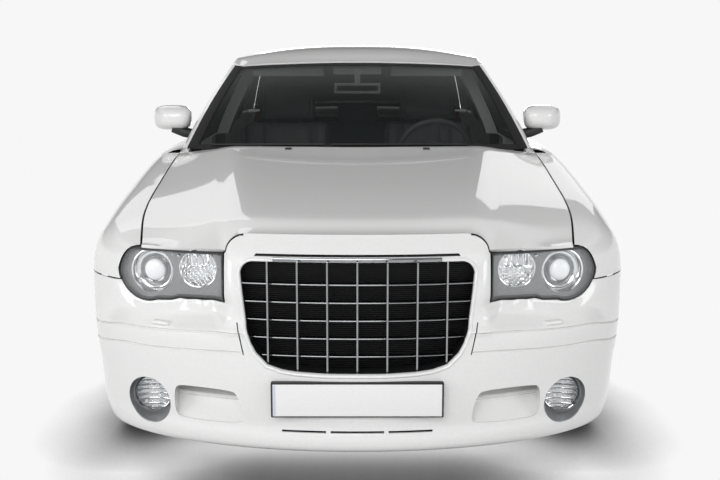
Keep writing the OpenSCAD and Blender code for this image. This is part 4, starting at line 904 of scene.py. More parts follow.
def cowl_corner(q, v, d):
    """Small panel at the foot of the windscreen post, d below its face."""
    x, s, z = lerp(lerp((742, 1550, 1000), (781, 1556, 999), q),
                   lerp((747, 1632, 1009), (784, 1668, 1009), q), v)
    return (x, s, z + 3 * math.sin(math.pi * q) - d)


corner = between("cowl_corner_l", *[[[cowl_corner(q, v, d) for v in steps(0, 1, 8)] for q in steps(0, 1, 6)]
                                    for d in (0, 8)])
fit_pair(corner, "cowl_corner_r", enamel)
rows = [[windscreen_point(u, v) for v in steps(0, 1, 24)] for u in steps(-1, 1, 48)]
fit(pressing("windscreen_glass", [rows], GLASS), tinted, stands_for=["windscreen"])
rows = [[rear_window_point(u, v) for u in steps(-1, 1, 40)] for v in steps(0, 1, 20)]
fit(pressing("rear_glass", [rows], GLASS), privacy, stands_for=["rear_window"])


def lifted(p, n, d):
    """Point moved by d along a direction."""
    return tuple(a + b * d for a, b in zip(p, n))


rubber_rows = []
for i, v in enumerate(steps(0, 1, 30)):
    a, b = windscreen_point(0.955, v), screen_post[i][3]
    rubber_rows.append([lifted(lerp(b, a, q), (0.1, -0.45, 0.88), 2.0 + 1.5 * math.sin(math.pi * q))
                        for q in steps(0, 1, 6)])
side_rubber = pressing("screen_rubber_l", [rubber_rows], 4)
fit_pair(side_rubber, "screen_rubber_r", rubber)
for name, v0, v1 in (("screen_rubber_top", 0.965, 1.0), ("screen_rubber_low", 0.0, 0.045)):
    rows = [[lifted(windscreen_point(u, v), (0, -0.45, 0.88), 1.5) for v in steps(v0, v1, 4)]
            for u in steps(-0.99, 0.99, 48)]
    fit(pressing(name, [rows], 3), rubber)
for name, v0, v1 in (("rear_rubber_low", 0, 0.05), ("rear_rubber_top", 0.95, 1)):
    rows = [[lifted(rear_window_point(u, v), (0, 0.5, 0.86), 1.5) for u in steps(-0.99, 0.99, 40)]
            for v in steps(v0, v1, 4)]
    fit(pressing(name, [rows], 3), rubber)

# Doors: outer skin, inner card, pane, handle
MIRROR_S, MIRROR_X, MIRROR_Z = DOOR_FRONT + 450, HALF_W - 58, 1130
rake = (front_high[0] - front_low[0]) / (front_high[1] - front_low[1])
fall = (rear_low[0] - rear_high[0]) / (rear_high[1] - rear_low[1])
WIN_LOW, WIN_HIGH, SAIL = 1048, FRAME_TOP - 46, MIRROR_S - 10
front_window = [(SAIL, WIN_LOW), (DOOR_SPLIT - 62, WIN_LOW), (DOOR_SPLIT - 62, WIN_HIGH),
                (front_low[0] + rake * (WIN_HIGH - front_low[1]) + 100, WIN_HIGH),
                (SAIL, front_low[1] + (SAIL - 100 - front_low[0]) / rake)]
rear_window = [(DOOR_SPLIT + 62, WIN_LOW + 10),
               (rear_high[0] + fall * (FRAME_TOP - WIN_LOW - 10) - 92, WIN_LOW + 10),
               (rear_high[0] + fall * 46 - 92, WIN_HIGH), (DOOR_SPLIT + 62, WIN_HIGH)]
front_door = [(DOOR_FRONT, DOOR_BOTTOM), (DOOR_SPLIT - GAP / 2, DOOR_BOTTOM),
              (DOOR_SPLIT - GAP / 2, FRAME_TOP), front_high, front_low, (DOOR_FRONT, 984)]
rear_door = [(DOOR_SPLIT + GAP / 2, FRAME_TOP), (DOOR_SPLIT + GAP / 2, DOOR_BOTTOM)]
rear_door += [(rear_edge(z), z) for z in steps(DOOR_BOTTOM, 720, 20)] + [rear_low, rear_high]
door_w = steps(-1, 0, 14) + steps(0, 1, 30)[1:] + steps(1, 2, 16)[1:]
card_w = steps(-1, 1, 24) + steps(1.1, 2, 8)


def frame_ring(outline, wide, proud, thick):
    """Strip around a window, standing proud of the door."""
    inner, outer = grown(outline, -1), grown(outline, wide)
    rows, n = [], len(inner)
    for i in range(n):
        for q in steps(0, 1, 12)[:-1]:
            a, b = lerp(inner[i], inner[(i + 1) % n], q), lerp(outer[i], outer[(i + 1) % n], q)
            rows.append([(glass_x(*a) + proud, *a), (glass_x(*b) + proud, *b)])
    rows.append(rows[0])
    return pressing("frame_strip", [[r[::-1] for r in rows]], thick)


def door(name, outline, window, s0, s1, handle_s, handle_z):
    """The pieces of a left door, each with its material and slot."""
    def cut_to(piece, edge):
        return carve(piece, prism(edge, "x", 0, DOOR_TOOL), mode="INTERSECT")

    def cut_out(piece):
        return carve(piece, prism(window, "x", 0, DOOR_TOOL))
    outer = cut_out(cut_to(layer(name + "_skin", s0 - 12, s1 + 12, 56, door_w, (0, 0), (0, SKIN)), outline))
    card = layer(name + "_card", s0 - 12, s1 + 12, 24, card_w, (0, SKIN - 2), (1, 0))
    card = cut_out(cut_to(card, grown(outline, -16)))
    pane = layer(name + "_pane", s0, s1, 16, steps(1, 2, 12), (0, PANE_DEPTH), (0, PANE_DEPTH + GLASS))
    pane = cut_to(pane, grown(window, -1))
    strip = frame_ring(window, 13, 1.5, 6)
    path = []
    for u in steps(0, 1, 24):
        s, arch = handle_s + 8 + 174 * u, math.sin(math.pi * unit(min(u, 1 - u) / 0.22) / 2)
        path.append((side_at(s, handle_z) + 30 * arch - 8, s, handle_z))
    bar = sweep(name + "_handle", path, round_section(16, 24, 16, 3))
    path = [(DOOR_INNER - 2, s, 640 + 30 * u) for u, s in zip(steps(0, 1, 12), steps(s0 + 180, s1 - 160, 12))]
    rest = sweep(name + "_armrest", path, round_section(76, 64, 20, 3))
    return [(outer, enamel, "paint"), (card, abs_black, "dark_plastic"), (pane, privacy, "glazing"),
            (strip, abs_gloss, "dark_plastic"), (bar, enamel, "paint"), (rest, leather, "leather")]


def side_at(s, z):
    """Half width of the body side at a height below the upper edge."""
    lo, hi = 0.0, 1.0
    for _ in range(24):
        mid = (lo + hi) / 2
        if side_point(s, mid)[2] < z:
            lo = mid
        else:
            hi = mid
    return side_point(s, lo)[0]


for name, *shape in (("door_front", front_door, front_window, DOOR_FRONT, DOOR_SPLIT, DOOR_SPLIT - 260, 838),
                     ("door_rear", rear_door, rear_window, DOOR_SPLIT, DOOR_REAR, DOOR_REAR - 210, 858)):
    for piece, material, slot in door(name, *shape):
        node = {"skin": "door", "pane": "glass"}.get(piece.name.split("_")[-1])
        for p, side in both_sides(piece):
            stands = [f"{node}_{name[5:]}_{side}"] if node else []
            fit(p, material, f"{name}_{side}", stands_for=stands)

# Door mirrors
MIRROR_W, MIRROR_H, MIRROR_D, MIRROR_N = 178, 118, 112, 40


def mirror_ring(w, h, back, inward=0.0):
    """Squarish ring of the mirror's outline, back behind its glass edge."""
    return [(MIRROR_X - inward + u, MIRROR_S + back, MIRROR_Z + v)
            for u, v in round_section(w, h, MIRROR_N, 3.4)]


verts = []
for b in [0, 10, 22, 34, 46, 58, 68, 78, 86, 93, 99, 104, 108, 110.5, 111.8]:
    k = (1 - (b / MIRROR_D) ** 2.6) ** (1 / 2.6)
    verts += mirror_ring(MIRROR_W * k, MIRROR_H * k, -b, 24 * (b / MIRROR_D) ** 1.5)
faces = ring_faces(len(verts) // MIRROR_N, MIRROR_N)
cap = form("mirror_cap", verts, faces + [list(range(len(verts) - MIRROR_N, len(verts)))])
verts = []
for w, h, back in ((MIRROR_W, MIRROR_H, 0), (176, 116, 2), (166, 106, 2), (162, 102, -8)):
    verts += mirror_ring(w, h, back)
rim_ring = form("mirror_rim", verts, [(b, a, d, c) for a, b, c, d in ring_faces(4, MIRROR_N)])
verts = mirror_ring(163, 103, -7) + [(MIRROR_X, MIRROR_S - 4.5, MIRROR_Z)]
looking_glass = form("mirror_glass", verts, [(j, (j + 1) % MIRROR_N, MIRROR_N) for j in range(MIRROR_N)])
foot_path = [(side_point(MIRROR_S - 48, 1.09)[0] - 6, MIRROR_S - 48, 1052),
             (790, MIRROR_S - 49, 1056), (820, MIRROR_S - 50, 1062), (850, MIRROR_S - 52, 1074),
             (872, MIRROR_S - 52, 1084)]
foot = sweep("mirror_foot", foot_path, round_section(64, 46, 20, 3))
sail_at = [(SAIL - 190, 1052), (SAIL - 4, 1052),
           (SAIL - 4, front_low[1] + (SAIL - 104 - front_low[0]) / rake + 20)]
sail_rows = [[lerp(sail_at[0], sail_at[1], q), lerp(sail_at[0], sail_at[2], q)] for q in steps(0.02, 1, 12)]
sail = between("mirror_sail",
               *[[[(glass_x(*p) + d, *p) for p in row] for row in sail_rows] for d in (2.5, -1)])
for piece, material, slot in ((cap, enamel, "paint"), (rim_ring, abs_black, "dark_plastic"),
                              (looking_glass, silvering, "bright_metal"), (foot, abs_black, "dark_plastic"),
                              (sail, abs_black, "dark_plastic")):
    for p, side in both_sides(piece):
        stands = [f"mirror_{side}"] if p.name.startswith("mirror_cap") else []
        fit(p, material, f"door_front_{side}", stands_for=stands)

# Grille: rounded chrome bars in an egg crate, dark fins behind
BOW_R, BOW_S, STRIP_Z = 1660, 46, 798


def bow(x):
    """Station of the crate's bowed front."""
    return BOW_S + BOW_R - math.sqrt(BOW_R ** 2 - x * x)


def grille_reach(z):
    """Half width of the opening at a height."""
    pts = sorted(grille_side, key=lambda p: p[1])
    for a, b in zip(pts, pts[1:]):
        if a[1] <= z <= b[1]:
            return lerp(a[0], b[0], (z - a[1]) / max(1e-6, b[1] - a[1]))
    return pts[-1][0]


def grille_floor(x):
    """Lower edge of the opening at a half width."""
    pts = sorted(p for p in grille_side if p[1] < GRILLE_HIGH - 45)
    if abs(x) <= pts[0][0]:
        return GRILLE_LOW
    for a, b in zip(pts, pts[1:]):
        if a[0] <= abs(x) <= b[0]:
            return lerp(a[1], b[1], (abs(x) - a[0]) / (b[0] - a[0]))
    return GRILLE_HIGH


def bar_section(h, depth):
    """Rounded nose, straight sides: (towards the rear, up)."""
    nose = [(h / 2 - h / 2 * math.cos(a), h / 2 * math.sin(a)) for a in steps(-math.pi / 2, math.pi / 2, 8)]
    return nose + [(depth, h / 2), (depth, -h / 2)]


BARS, UPRIGHTS, FINS = 5, 7, 54
bars = []
for i in range(1, BARS + 1):
    z = GRILLE_LOW + i * ((GRILLE_HIGH - GRILLE_LOW) / (BARS + 1)) - 12
    reach = grille_reach(z) - 1
    path = [(x, bow(x), z) for x in steps(-reach, reach, 40)]
    bars.append(sweep("bar", path, [(-u, v) for u, v in bar_section(6, 26)]))
for i in range(UPRIGHTS):
    x = (i - UPRIGHTS // 2) * GRILLE_HALF / (UPRIGHTS / 2 + 0.46)
    path = [(x, bow(x) - 2, z) for z in steps(grille_floor(x) + 1, GRILLE_HIGH + 4, 4)]
    bars.append(sweep("bar", path, [(v, u) for u, v in bar_section(5, 22)], up=(0, -1, 0)))
crate = joined("grille_crate", bars)
fit(crate, chrome, stands_for=["grille"])
fins = []
for i in range(FINS):
    z = GRILLE_LOW + 4 + i * 6.2
    reach = grille_reach(z) - 2
    path = [(x, bow(x) + 40, z) for x in steps(-reach, reach, 16)]
    fins.append(sweep("fin", path, [(-9, -2), (9, 1.2), (9, 2.2), (-9, -1)]))
fit(joined("grille_fins", fins), fin_black)

# Lip of the opening: a raised painted bead, then a black wall back to the crate
rim = []
for a, b in zip(grille_outline, grille_outline[1:] + grille_outline[:1]):
    rim += [lerp(a, b, q) for q in steps(0, 1, max(1, int(math.dist(a, b) / 12)))[:-1]]
# Columns: how far outside the opening, how far behind the face
LIP = [(12, 1.5), (10, -2), (7, -4), (3.5, -3.5), (0.5, -1), (-1, 4), (-1.5, 10)]
rings = [[(x, nose_at(x, z) + d, z) for x, z in grown(rim, g)] for g, d in LIP]
shroud_rings = [[(x, nose_at(x, z) + 9, z) for x, z in grown(rim, -1)],
                [(x, bow(x) + 44, z) for x, z in grown(rim, 1)]]
for name, loops, material, slot in (("grille_lip", rings, enamel, "paint"),
                                    ("grille_shroud", shroud_rings, abs_black, "dark_plastic")):
    lip = pressing(name, [[[ring[i % len(rim)] for ring in loops] for i in range(len(rim) + 1)]], 2)
    fit(faced_outward(lip), material, sharp=50)
# Rubber under the bonnet edge beside the grille: partly a seal, partly painted shade, black so that the shut
# line there reads as a dark gap
for name, sign in (("nose_seal_left", 1), ("nose_seal_right", -1)):
    edge = [(x, front_seam(x) - 3) for x in steps(GRILLE_HALF - 14, LAMP_IN - 2, 16)]
    path = [(sign * x, nose_at(x, z) + 9, z) for x, z in edge]
    fit(sweep(name, path, round_section(8, 5, 12)), rubber)
# Bright strip over the grille and the black recess behind the slot above it
layers = [[[(x, nose_at(x, z) + d, z) for z in (802, 830)] for x in steps(-324, 324, 36)] for d in (13, 17)]
fit(between("strip_recess", *layers), abs_black)
path = [(x, nose_at(x, STRIP_Z) - 3, STRIP_Z) for x in steps(-258, 258, 40)]
fit(sweep("grille_strip", path, round_section(10, 13, 14, 2.6)), chrome)

# Headlamps
lens_grid = [[nose_point(t, z) for z in steps(606, 830, 20)] for t in steps(0.26, 0.76, 36)]


def pushed(grid, d):
    """Grid moved to the rear."""
    return [[(p[0], p[1] + d, p[2]) for p in row] for row in grid]


def lamp_tool(d):
    return prism(grown(lamp_outline, d), "s", *LAMP_REACH)


def lamp_layer(name, front, back, edge):
    """Part of the lamp between two depths behind the face, cut to its outline grown by edge."""
    piece = between(name, pushed(lens_grid, front), pushed(lens_grid, back))
    return carve(piece, lamp_tool(edge), mode="INTERSECT")


OUTER, INNER, LAMP_REACH = (658, 730), (503, 748), (-100, 600)
cover = lamp_layer("lamp_cover", 3, 6, -3)
plate = lamp_layer("lamp_bezel", 26, 34, -6)
carve(plate, drum("s", *OUTER, 70, *LAMP_REACH), drum("s", *INNER, 60, *LAMP_REACH))
wall = carve(lamp_layer("lamp_seal", 5, 60, 1), lamp_tool(-6))


def tip(piece, centre, turn):
    """Turns a lamp about the upright through its centre."""
    c = metres(centre)
    spin = Matrix.Rotation(math.radians(turn), 4, "Z")
    piece.data.transform(Matrix.Translation(c) @ spin @ Matrix.Translation(-c))
    return piece


def reflector(name, centre, rings, spokes, depth):
    """Round dish: depth(x, z, r) says how far a point lies behind the centre."""
    verts = []
    for r in (DISH_R * i / rings for i in range(rings + 1)):
        for a in (math.tau * j / spokes for j in range(spokes + 1)):
            x, z = r * math.sin(a), r * math.cos(a)
            verts.append((centre[0] + x, centre[1] + depth(x, z, r), centre[2] + z))
    return form(name, verts, grid_faces(rings + 1, spokes + 1))


def lamp_depth(x, z, r):
    """Long flutes in the upper half, small pillows in the lower half, a ridge between."""
    if z > 3:
        flute = 9 * abs(math.sin(x / 22 * math.pi))
    else:
        flute = 4 * math.sin(x / 8 * math.pi) * math.sin(z / 8 * math.pi)
    bowl = 26 * (1 - (r / DISH_R) ** 2) + 6
    return bowl + flute * ease((DISH_R - r) / 7) - 6 * math.exp(-(z / 2.5) ** 2)


def fog_depth(_, z, r):
    return 8 + 20 * (1 - (r / DISH_R) ** 2) + 7 * abs(math.sin(z / 17 * math.pi))


DISH_R, OUTER_TURN, INNER_TURN = 58, 12, 8
co, ci = (OUTER[0], nose_at(*OUTER) + 30, OUTER[1]), (INNER[0], nose_at(*INNER) + 26, INNER[1])
# Columns: distance behind the lamp's centre, radius
RING_OUT = [(44, 74), (0, 74), (-4, 72.5), (-5, 70), (-3, 67.5), (3, 66), (12, 65)]
BOWL_OUT = [(6, 66), (10, 62), (13, 60), (14, 56), (22, 47), (30, 42), (30, 38), (40, 34), (40, TIP)]
HOOD = [(38, 41), (14, 41), (10, 39), (11, 36), (26, 35)]
LENS = [(20, 36), (12, 34), (6, 29), (2, 21), (0, 13), (-1, 6), (-1.2, TIP)]
RING_IN = [(40, 62.5), (-2, 62.5), (-4, 61), (-3, 58.5), (2, 57), (10, 56.5)]
FOG_GLASS = [(6, 57), (2, 52), (-1, 36), (-3, 16), (-3.5, TIP), (-0.5, TIP), (0, 16), (2, 36), (5, 52),
             (9, 57)]
ring_out = tip(lathe("lamp_ring", RING_OUT, co, "s"), co, OUTER_TURN)
bowl_out = tip(lathe("lamp_bowl", BOWL_OUT, co, "s"), co, OUTER_TURN)
hood = tip(lathe("projector_ring", HOOD, co, "s"), co, OUTER_TURN)
bulb = tip(lathe("projector_lens", LENS, co, "s", 64), co, OUTER_TURN)
ring_in = tip(lathe("lamp_ring_in", RING_IN, ci, "s"), ci, INNER_TURN)
dish = tip(reflector("lamp_dish", ci, 32, 120, lamp_depth), ci, INNER_TURN)
marker = lathe("marker_bulb", [(26, TIP), (24, 7), (2, 8), (-4, 6), (-7, TIP)],
               (568, nose_at(568, 786) + 24, 784), "s", 24)
for piece, material, slot in ((plate, bezel_grey, "bright_metal"), (wall, abs_black, "dark_plastic"),
                              (ring_out, aluminised, "bright_metal"), (bowl_out, aluminised, "bright_metal"),
                              (hood, chrome, "bright_metal"), (bulb, lens_glass, "lamp_cover"),
                              (ring_in, aluminised, "bright_metal"), (dish, aluminised, "bright_metal"),
                              (marker, chrome, "bright_metal"), (cover, clear_cover, "lamp_cover")):
    for p, _ in both_sides(piece):
        stands = {"lamp_bezel_l": ["headlamps"], "lamp_cover_l": ["lamp_lenses"]}.get(p.name, [])
        fit(p, material, stands_for=stands)

# Fog lamps: a cup from the edge of the cover back to a fluted lamp that faces straight ahead
fog_s = nose_at(FOG_X + FOG_R, FOG_Z) + 16
fc = (FOG_X, fog_s, FOG_Z)
cup_rows = []
for a in steps(0, 360, 72):
    c, d = math.cos(math.radians(a)), math.sin(math.radians(a))
    mouth = (FOG_X + (FOG_R + 1) * c, FOG_Z + (FOG_R + 1) * d)
    row = [(mouth[0], nose_at(*mouth) + 5, mouth[1])]
    for q in (0.3, 0.65, 1):
        r = lerp(FOG_R - 1, FOG_R - 9, q)
        row.append((FOG_X + r * c, lerp(nose_at(*mouth) + 8, fog_s + 4, q), FOG_Z + r * d))
    row.append((FOG_X + DISH_R * c, fog_s + 5, FOG_Z + DISH_R * d))
    cup_rows.append(row)
cup = pressing("fog_cup", [cup_rows], 2)
fog_ring = lathe("fog_ring", [(14, 62), (2, 62), (-1, 60), (1, 57), (12, 56)], fc, "s")
fog_dish = reflector("fog_dish", fc, 24, 96, fog_depth)
fog_glass = lathe("fog_glass", FOG_GLASS, fc, "s", 64)
for piece, material, slot in ((cup, bezel_grey, "dark_plastic"), (fog_ring, chrome, "bright_metal"),
                              (fog_dish, aluminised, "bright_metal"), (fog_glass, clear_cover, "lamp_cover")):
    for p, _ in both_sides(piece):
        fit(p, material, stands_for=["fog_lamps"] if p.name == "fog_cup_l" else [])

# Number plate: blank sheet in a black holder
PLATE_X, PLATE_LOW, PLATE_HIGH = 257, 330, 430
holder = soft_block("plate_holder", -PLATE_X - 6, PLATE_X + 6, -12, 12, PLATE_LOW - 5, PLATE_HIGH + 5, 4)
fit(holder, abs_black, stands_for=["number_plate"])
sheet = soft_block("plate_sheet", -PLATE_X, PLATE_X, -13.6, -10, PLATE_LOW, PLATE_HIGH, 1.2)
fit(sheet, plate_white)
strip = soft_block("plate_strip", -PLATE_X + 1, -PLATE_X + 9, -14, -12, PLATE_LOW + 2, PLATE_HIGH - 2, 0.4)
fit(strip, plate_blue)

# Tail lamps
lamp_rows = [[rear_corner(t, w) for w in steps(0.03, 1, 26)] for t in steps(0.2, 0.6, 24)]
tail_lamp = pressing("tail_lamp_l", [lamp_rows], 8)
carve(tail_lamp, slab(0, FAR, 0, TAIL - 228, 0, TOOL_TOP),
      slab(0, edge_x(EDGE_REAR) + 2, 0, TAIL + 50, 0, TOOL_TOP),
      slab(0, FAR, 0, TAIL + 50, 0, REAR_SEAM + 8), folded=True)
fit_pair(tail_lamp, "tail_lamp_r", acrylic_red, left_for=["tail_lamps"])

# Wheels
half, SPOKES, NUTS = TYRE_W / 2, 7, 5


def tyre_mesh(name):
    """Tyre with three grooves, shoulder blocks and cross cuts."""
    n = 216
    base = [(-half + 16, RIM_R + 1), (-half + 10, RIM_R + 12), (-half + 3, RIM_R + 28), (-half, RIM_R + 46),
            (-half + 0.5, RIM_R + 60), (-half + 4, TYRE_R - 34), (-half + 8, TYRE_R - 22),
            (-half + 14, TYRE_R - 14), (-half + 22, TYRE_R - 8), (-half + 32, TYRE_R - 4)]
    tread = []
    for a in (-80, -34, 12, 58):
        tread += [(a, 0), (a + 20, 0), (a + 20.5, -7), (a + 25.5, -7), (a + 26, 0)]
    tread = [(-88, -2), (-84, -1)] + tread[:-3] + [(84, -1), (88, -2)]
    profile = base + [(a, TYRE_R + d) for a, d in tread] + [(-a, r) for a, r in base[::-1]]
    verts = []
    for i in range(n):
        turn = math.tau * i / n
        for a, r in profile:
            tread_face = r > TYRE_R - 0.5
            shoulder_cut = i % 4 == 0 and TYRE_R - 16 < r < TYRE_R - 1.5
            cut = -5 if shoulder_cut or (i % 6 == 0 and tread_face) else 0
            along = r + cut * (0.6 if tread_face else 1)
            verts.append((a, along * math.cos(turn) + MIDDLE, (r + cut) * math.sin(turn)))
    return faced_outward(form(name, verts, turned_faces(n, len(profile))))


def rim_mesh(name):
    """Rim whose face points to +x."""
    at = (0, MIDDLE, 0)
    barrel = [(-half + 20, 0), (-half + 40, 10), (0, 14), (half - 40, 10), (half - 20, 0), (half - 12, 6),
              (half - 12, 12), (half - 16, 20), (half - 22, 24), (30, 28), (-half + 22, 26)]
    hub = [(46, 79), (84, 79), (90, 76), (92, 70), (90, 62), (86, 40), (92, 36), (97, 30), (99, 18),
           (99.5, TIP)]
    parts = [lathe("barrel", [(a, RIM_R - d) for a, d in barrel], at, "x", 144, caps=True),
             lathe("hub", hub, at, "x", 96)]
    for i in range(SPOKES):
        verts = []
        for u in steps(0, 1, 16):
            r = lerp(68, RIM_R - 14, u)
            w = lerp(27, 17, ease(u)) + 6 * ease((u - 0.8) / 0.2)
            f = lerp(88, 90, u) - 12 * math.sin(math.pi * u)
            section = [(-26, -w), (-6, -w), (-1, -w + 5), (0, -w + 9), (-3, 0), (0, w - 9), (-1, w - 5),
                       (-6, w), (-26, w)]
            verts += [(f + x, MIDDLE + y, r) for x, y in section]
        n, m = len(verts), 9
        faces = ring_faces(n // m, m) + [list(range(m))[::-1], list(range(n - m, n))]
        parts.append(turned("spoke", Matrix.Rotation(math.tau * i / SPOKES, 4, "X"),
                            form("spoke", verts, faces)))
    for i in range(NUTS):
        a = math.tau * (i + 0.5) / NUTS
        centre = (0, MIDDLE + 54 * math.cos(a), 54 * math.sin(a))
        parts.append(lathe("nut", [(84, 9), (92, 9), (95, 6), (96, TIP)], centre, "x", 6))
    return faced_outward(joined(name, parts))


def disc_mesh(name):
    """Vented disc: two plates with a slot between, on a shallow bell."""
    profile = [(8, 60), (8, 168), (10, 170), (17, 170), (19, 168), (19, 160), (21, 160), (21, 168), (23, 170),
               (30, 170), (32, 168), (32, 92), (44, 88), (46, 60)]
    return lathe(name, profile, (0, MIDDLE, 0), "x", 96, caps=True)


for end, s in (("front", FRONT_AXLE), ("rear", REAR_AXLE)):
    for side, sign in (("left", 1), ("right", -1)):
        place = Matrix.Translation(metres((sign * TRACK / 2, s, TYRE_R))) @ Matrix.Scale(sign, 4, (1, 0, 0))
        corner = f"{end}_{side}"
        tyre, rim, disc = tyre_mesh("tyre"), rim_mesh("rim"), disc_mesh("disc")
        for piece, kind, material, slot, stands in ((tyre, "rubber", tyre_rubber, "tyre", [f"tyre_{corner}"]),
                                                    (rim, "rim", alloy, "alloy", [f"wheel_{corner}"]),
                                                    (disc, "brake_disc", disc_iron, "chassis", [])):
            fit(turned(f"{kind}_{corner}", place, piece), material, f"wheel_{corner}",
                stands_for=stands)


# Seats: closed crowned forms with bolsters, piping grooves and sewn channels, shaped in code
def resample(outline, n):
    """Outline as n points at even distances."""
    lengths = [math.dist(a, b) for a, b in zip(outline, outline[1:] + outline[:1])]
    total, out, i, run = sum(lengths), [], 0, 0.0
    for k in range(n):
        d = total * k / n
        while run + lengths[i] < d:
            run += lengths[i]
            i += 1
        out.append(lerp(outline[i], outline[(i + 1) % len(outline)], (d - run) / lengths[i]))
    return out


def cushion(name, outline, base_s, x0, x1, front, bolster=0.0, seams=(), channels=(), crown=12, edge=40):
    """Padded form of a side outline; front(n) says how far an edge with the normal n is leaned on."""
    ring = resample(rounded(outline if area_of(outline) > 0 else outline[::-1]), 150)
    n = len(ring)
    normal = []
    for i in range(n):
        a, b = ring[i - 1], ring[(i + 1) % n]
        d = Vector((b[0] - a[0], b[1] - a[1])).normalized()
        normal.append(Vector((d.y, -d.x)))
    half_x, mid_x = (x1 - x0) / 2, (x0 + x1) / 2
    verts = []
    cols = [-1 + 2 * i / 76 for i in range(77)]
    for c in cols:
        a = math.sin(c * math.pi / 2) * 0.5 + c * 0.5
        out = (abs(a) * half_x - (half_x - edge)) / edge
        pull = edge * 0.8 * (1 - math.sqrt(max(0, 1 - unit(out) ** 2))) if out > 0 else 0
        for i, p in enumerate(ring):
            nrm = normal[i]
            face = front(nrm)
            roll = bolster * ease((abs(a) - 0.5) / 0.3) * (1 - ease((abs(a) - 0.9) / 0.1))
            d = -pull + face * (crown * (1 - a * a) - crown + roll)
            for q in seams:
                d -= face * 7 * math.exp(-((abs(a) - q) * half_x / 6) ** 2)
            if abs(a) < (seams[0] if seams else 0.9):
                for q in channels:
                    d -= face * 6 * math.exp(-((p[1] - q if abs(nrm.x) > abs(nrm.y) else p[0] - q) / 7) ** 2)
            verts.append((mid_x + a * half_x, base_s + p[0] + nrm.x * d, p[1] + nrm.y * d))
    faces = [(a, d, c, b) for a, b, c, d in ring_faces(len(cols), n)]
    faces += [list(range(n)), list(range(len(verts) - n, len(verts)))[::-1]]
    return faced_outward(form(name, verts, faces))


def sat_on(nrm):
    """How far a normal points up."""
    return ease((nrm.y - 0.1) / 0.5)


def leaned_on(nrm):
    """How far a normal points forward."""
    return ease((-nrm.x - 0.1) / 0.5)


CUSHION = [(0, 300), (20, 440), (90, 480), (430, 440), (520, 420), (520, 300)]
BACKREST = [(430, 400), (560, 1030), (600, 1058), (650, 1040), (660, 980), (560, 380)]
HEADREST = [(585, HEAD_Z), (592, HEAD_Z + 90), (598, HEAD_Z + 170), (625, HEAD_Z + 190), (665, HEAD_Z + 184),
            (682, HEAD_Z + 147), (680, HEAD_Z + 8), (650, HEAD_Z - 6)]
BENCH = [(-660, 396), (-656, 452), (-600, 486), (-420, 484), (-210, 456), (-200, 416), (-318, 414)]
SQUAB = [(-232, 452), (-150, 720), (-66, 1000), (-34, 1014), (-4, 1000), (-4, 424), (-200, 424)]
REAR_HEADREST = [(-96, 1004), (-90, 1060), (-86, 1118), (-44, 1130), (-12, 1102), (-12, 1004)]
DASH = [(0, 958), (330, 958), (520, 930), (560, 880), (540, 760), (430, 620), (360, 600), (120, 640),
        (0, 700)]
for side, sign in (("left", 1), ("right", -1)):
    x0, x1 = sorted((sign * (SEAT_X - SEAT_HALF), sign * (SEAT_X + SEAT_HALF)))
    base = cushion(f"front_cushion_{side}", CUSHION, SEAT_S, x0, x1, sat_on, 18, (0.56,), (150, 240, 330))
    back = cushion(f"front_backrest_{side}", BACKREST, SEAT_S, x0 + 10, x1 - 10, leaned_on, 22, (0.54,),
                   (560, 650, 740, 830, 920))
    head = cushion(f"front_headrest_{side}", HEADREST, SEAT_S, x0 + 95, x1 - 95, leaned_on, 0, (0.86,),
                   crown=10, edge=34)
    for p in (base, back, head):
        fit(p, leather, sharp=60,
            stands_for=["front_seats"] if p is base and side == "left" else [])
    stays = [set_at(lathe("stay", [(0, 8), (150, 8)], (0, 0, 0), "x", 24),
                    (sign * SEAT_X + k, SEAT_S + 628, HEAD_Z - 60), -math.pi / 2, "Y") for k in (-70, 70)]
    fit(joined(f"headrest_stays_{side}", stays), chrome)
    runner = soft_block(f"seat_runner_{side}", x0 + 50, x1 - 50, SEAT_S + 40, SEAT_S + 480, 222.3, 312, 10)
    fit(runner, chassis_paint)

rear_back = REAR_AXLE - 116
bench = cushion("rear_bench", BENCH, rear_back, -628, 628, sat_on, 0, (0.42,), (-560, -470, -380), 10)
squab = cushion("rear_squab", SQUAB, rear_back, -628, 628, leaned_on, 0, (0.42,), (560, 660, 760, 860), 10)
heads = [cushion(f"rear_headrest_{i}", REAR_HEADREST, rear_back, x - 128, x + 128, leaned_on, 0, (0.86,),
                 crown=8, edge=30) for i, x in enumerate((-400, 0, 400))]
for p in [bench, squab] + heads:
    fit(p, leather, sharp=60, stands_for=["rear_seat"] if p is bench else [])

# Dashboard, steering wheel, inner mirror
dash_s = COWL + 40
dash = cushion("dash_top", DASH, dash_s, -680, 680, lambda n: 0.0, edge=26)
hood_rows = []
for u in steps(0, 1, 12):
    s, rise = dash_s + lerp(330, 590, u), lerp(46, 62, u)
    row = [(SEAT_X + 165 * math.cos(a), s, 920 + rise * math.sin(a) ** 0.7) for a in steps(math.pi, 0, 24)]
    hood_rows.append(row[::-1])
cowl_hood = pressing("instrument_hood", [hood_rows], 8)
vents = [soft_block("slat", x - 28, x + 28, dash_s + 548, dash_s + 566, 848 + k * 9, 852 + k * 9, 1.2)
         for x in (-110, -40, 40, 110) for k in range(6)]
stack = soft_block("centre_stack", -150, 150, dash_s + 360, dash_s + 556, 430, 830, 14)
console = soft_block("centre_console", -139, 139, dash_s + 330, DOOR_SPLIT + 118, 381, 560, 24)
fit(dash, abs_black, sharp=50, stands_for=["dashboard"])
fit(cowl_hood, abs_black)
fit(joined("dash_vents", vents), abs_gloss)
fit(stack, abs_gloss)
fit(console, abs_black)

